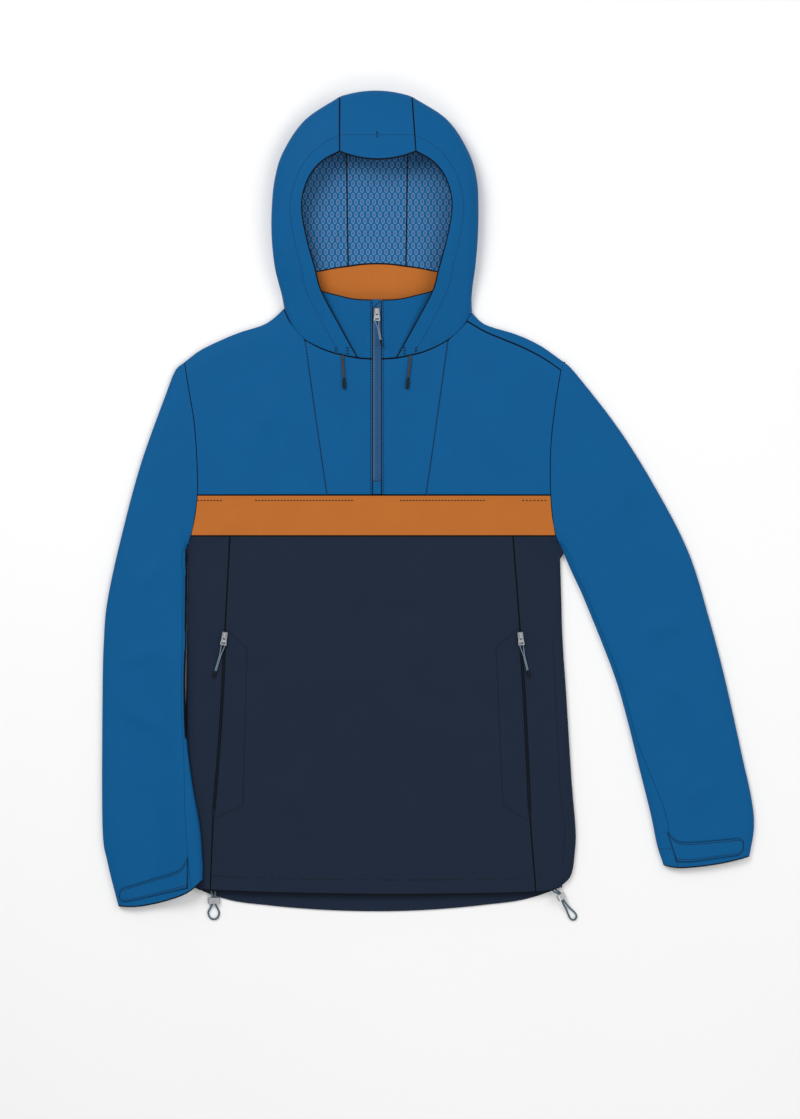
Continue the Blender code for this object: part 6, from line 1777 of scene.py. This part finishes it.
def cords():
    """Hood drawcord ends with their tips, and the hem's elastic loops through their stops."""
    for side, (cord, tip) in DRAWCORDS.items():
        piece, path = braided_cord("drawcord_" + side, cord, DRAWCORD_RADIUS, DRAWCORD_BRAID)
        node = "drawcord_tip_" + side
        line = np.linspace(tip[0], tip[1], LINE_SAMPLES // 2)
        mesh = tube_mesh(node, line, TIP_RADIUS, **TIP_TUBE)
        tip_piece = add_piece(node + "_sleeve", mesh, BLACK_PLASTIC, nodes=(node,))
    for side, points in HEM_CORDS.items():
        piece, path = braided_cord("hem_cord_" + side, points, HEM_CORD_RADIUS, HEM_BRAID)


def metal_parts():
    """The construction's own sliders, pulls and stops, finished as brushed metal."""
    for node in METAL_NODES:
        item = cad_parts[node]
        item.data.materials.clear()
        item.data.materials.append(BRUSHED_METAL)


# ------------------------------------------------------------- stage and camera

def area_light(name, centre, size, power):
    """Soft light that looks at the middle of the garment."""
    data = bpy.data.lights.new(name, "AREA")
    data.shape = "DISK"
    data.size = size
    data.energy = power
    item = linked(name, data)
    item.location = centre
    item.rotation_euler = (-Vector(centre)).to_track_quat("-Z", "Y").to_euler()


def studio():
    """Pale floor and soft light from all round."""
    look = Look("pale_floor", roughness=0.9, specular=0.1)
    look.colour(look.blend(look.noise(3.0), *FLOOR_TONES))
    mesh = bpy.data.meshes.new("floor")
    corners = [(x * FLOOR_HALF, y * FLOOR_HALF, FLOOR_Z) for x, y in ((-1, -1), (1, -1), (1, 1), (-1, 1))]
    mesh.from_pydata(corners, [], [(0, 1, 2, 3)])
    mesh.materials.append(look.material)
    linked("floor", mesh)
    for light in LIGHTS:
        area_light(*light)
    world = bpy.data.worlds.new("studio")
    world.use_nodes = True
    world.node_tree.nodes["Background"].inputs["Color"].default_value = (1.0, 1.0, 1.0, 1.0)
    world.node_tree.nodes["Background"].inputs["Strength"].default_value = WORLD_STRENGTH
    bpy.context.scene.world = world
    bpy.context.scene.view_settings.view_transform = "Standard"


def camera():
    """Camera straight above, framed as the photograph."""
    data = bpy.data.cameras.new("camera")
    data.sensor_fit = "VERTICAL"
    data.sensor_height = SENSOR
    data.lens = LENS
    item = linked("camera", data)
    view_height = IMAGE_PIXELS[1] * PIXEL * MM
    centre_x, centre_y = (value * MM for value in IMAGE_CENTRE)
    item.location = (centre_x, centre_y, EYE_LEVEL * MM + view_height * LENS / SENSOR)
    bpy.context.scene.camera = item


camera()
studio()
cords()
tabs = []
for curves in CURVES.values():
    yoke_side(curves)
    yoke_centre(curves)
    lower_side(curves)
    sleeve(curves)
    collar_front(curves)
    pocket_zip(curves)
    pocket_bag(curves)
    tabs.append(cuff_tab(curves))
band()
lower_centre()
back_yoke()
back_lower()
sides, centre = hood()
hood_lining()
back_neck_facing()
front_zip()
zip_patch("zip_end_tab", END_TAB, 2 * HALF_GAP, LINING_WALL)
zip_patch("zip_garage", GARAGE, 2 * HALF_GAP, LINING_WALL)
pulls()
metal_parts()
body_stitches()
hood_stitches(sides, centre)
tab_stitches(tabs)
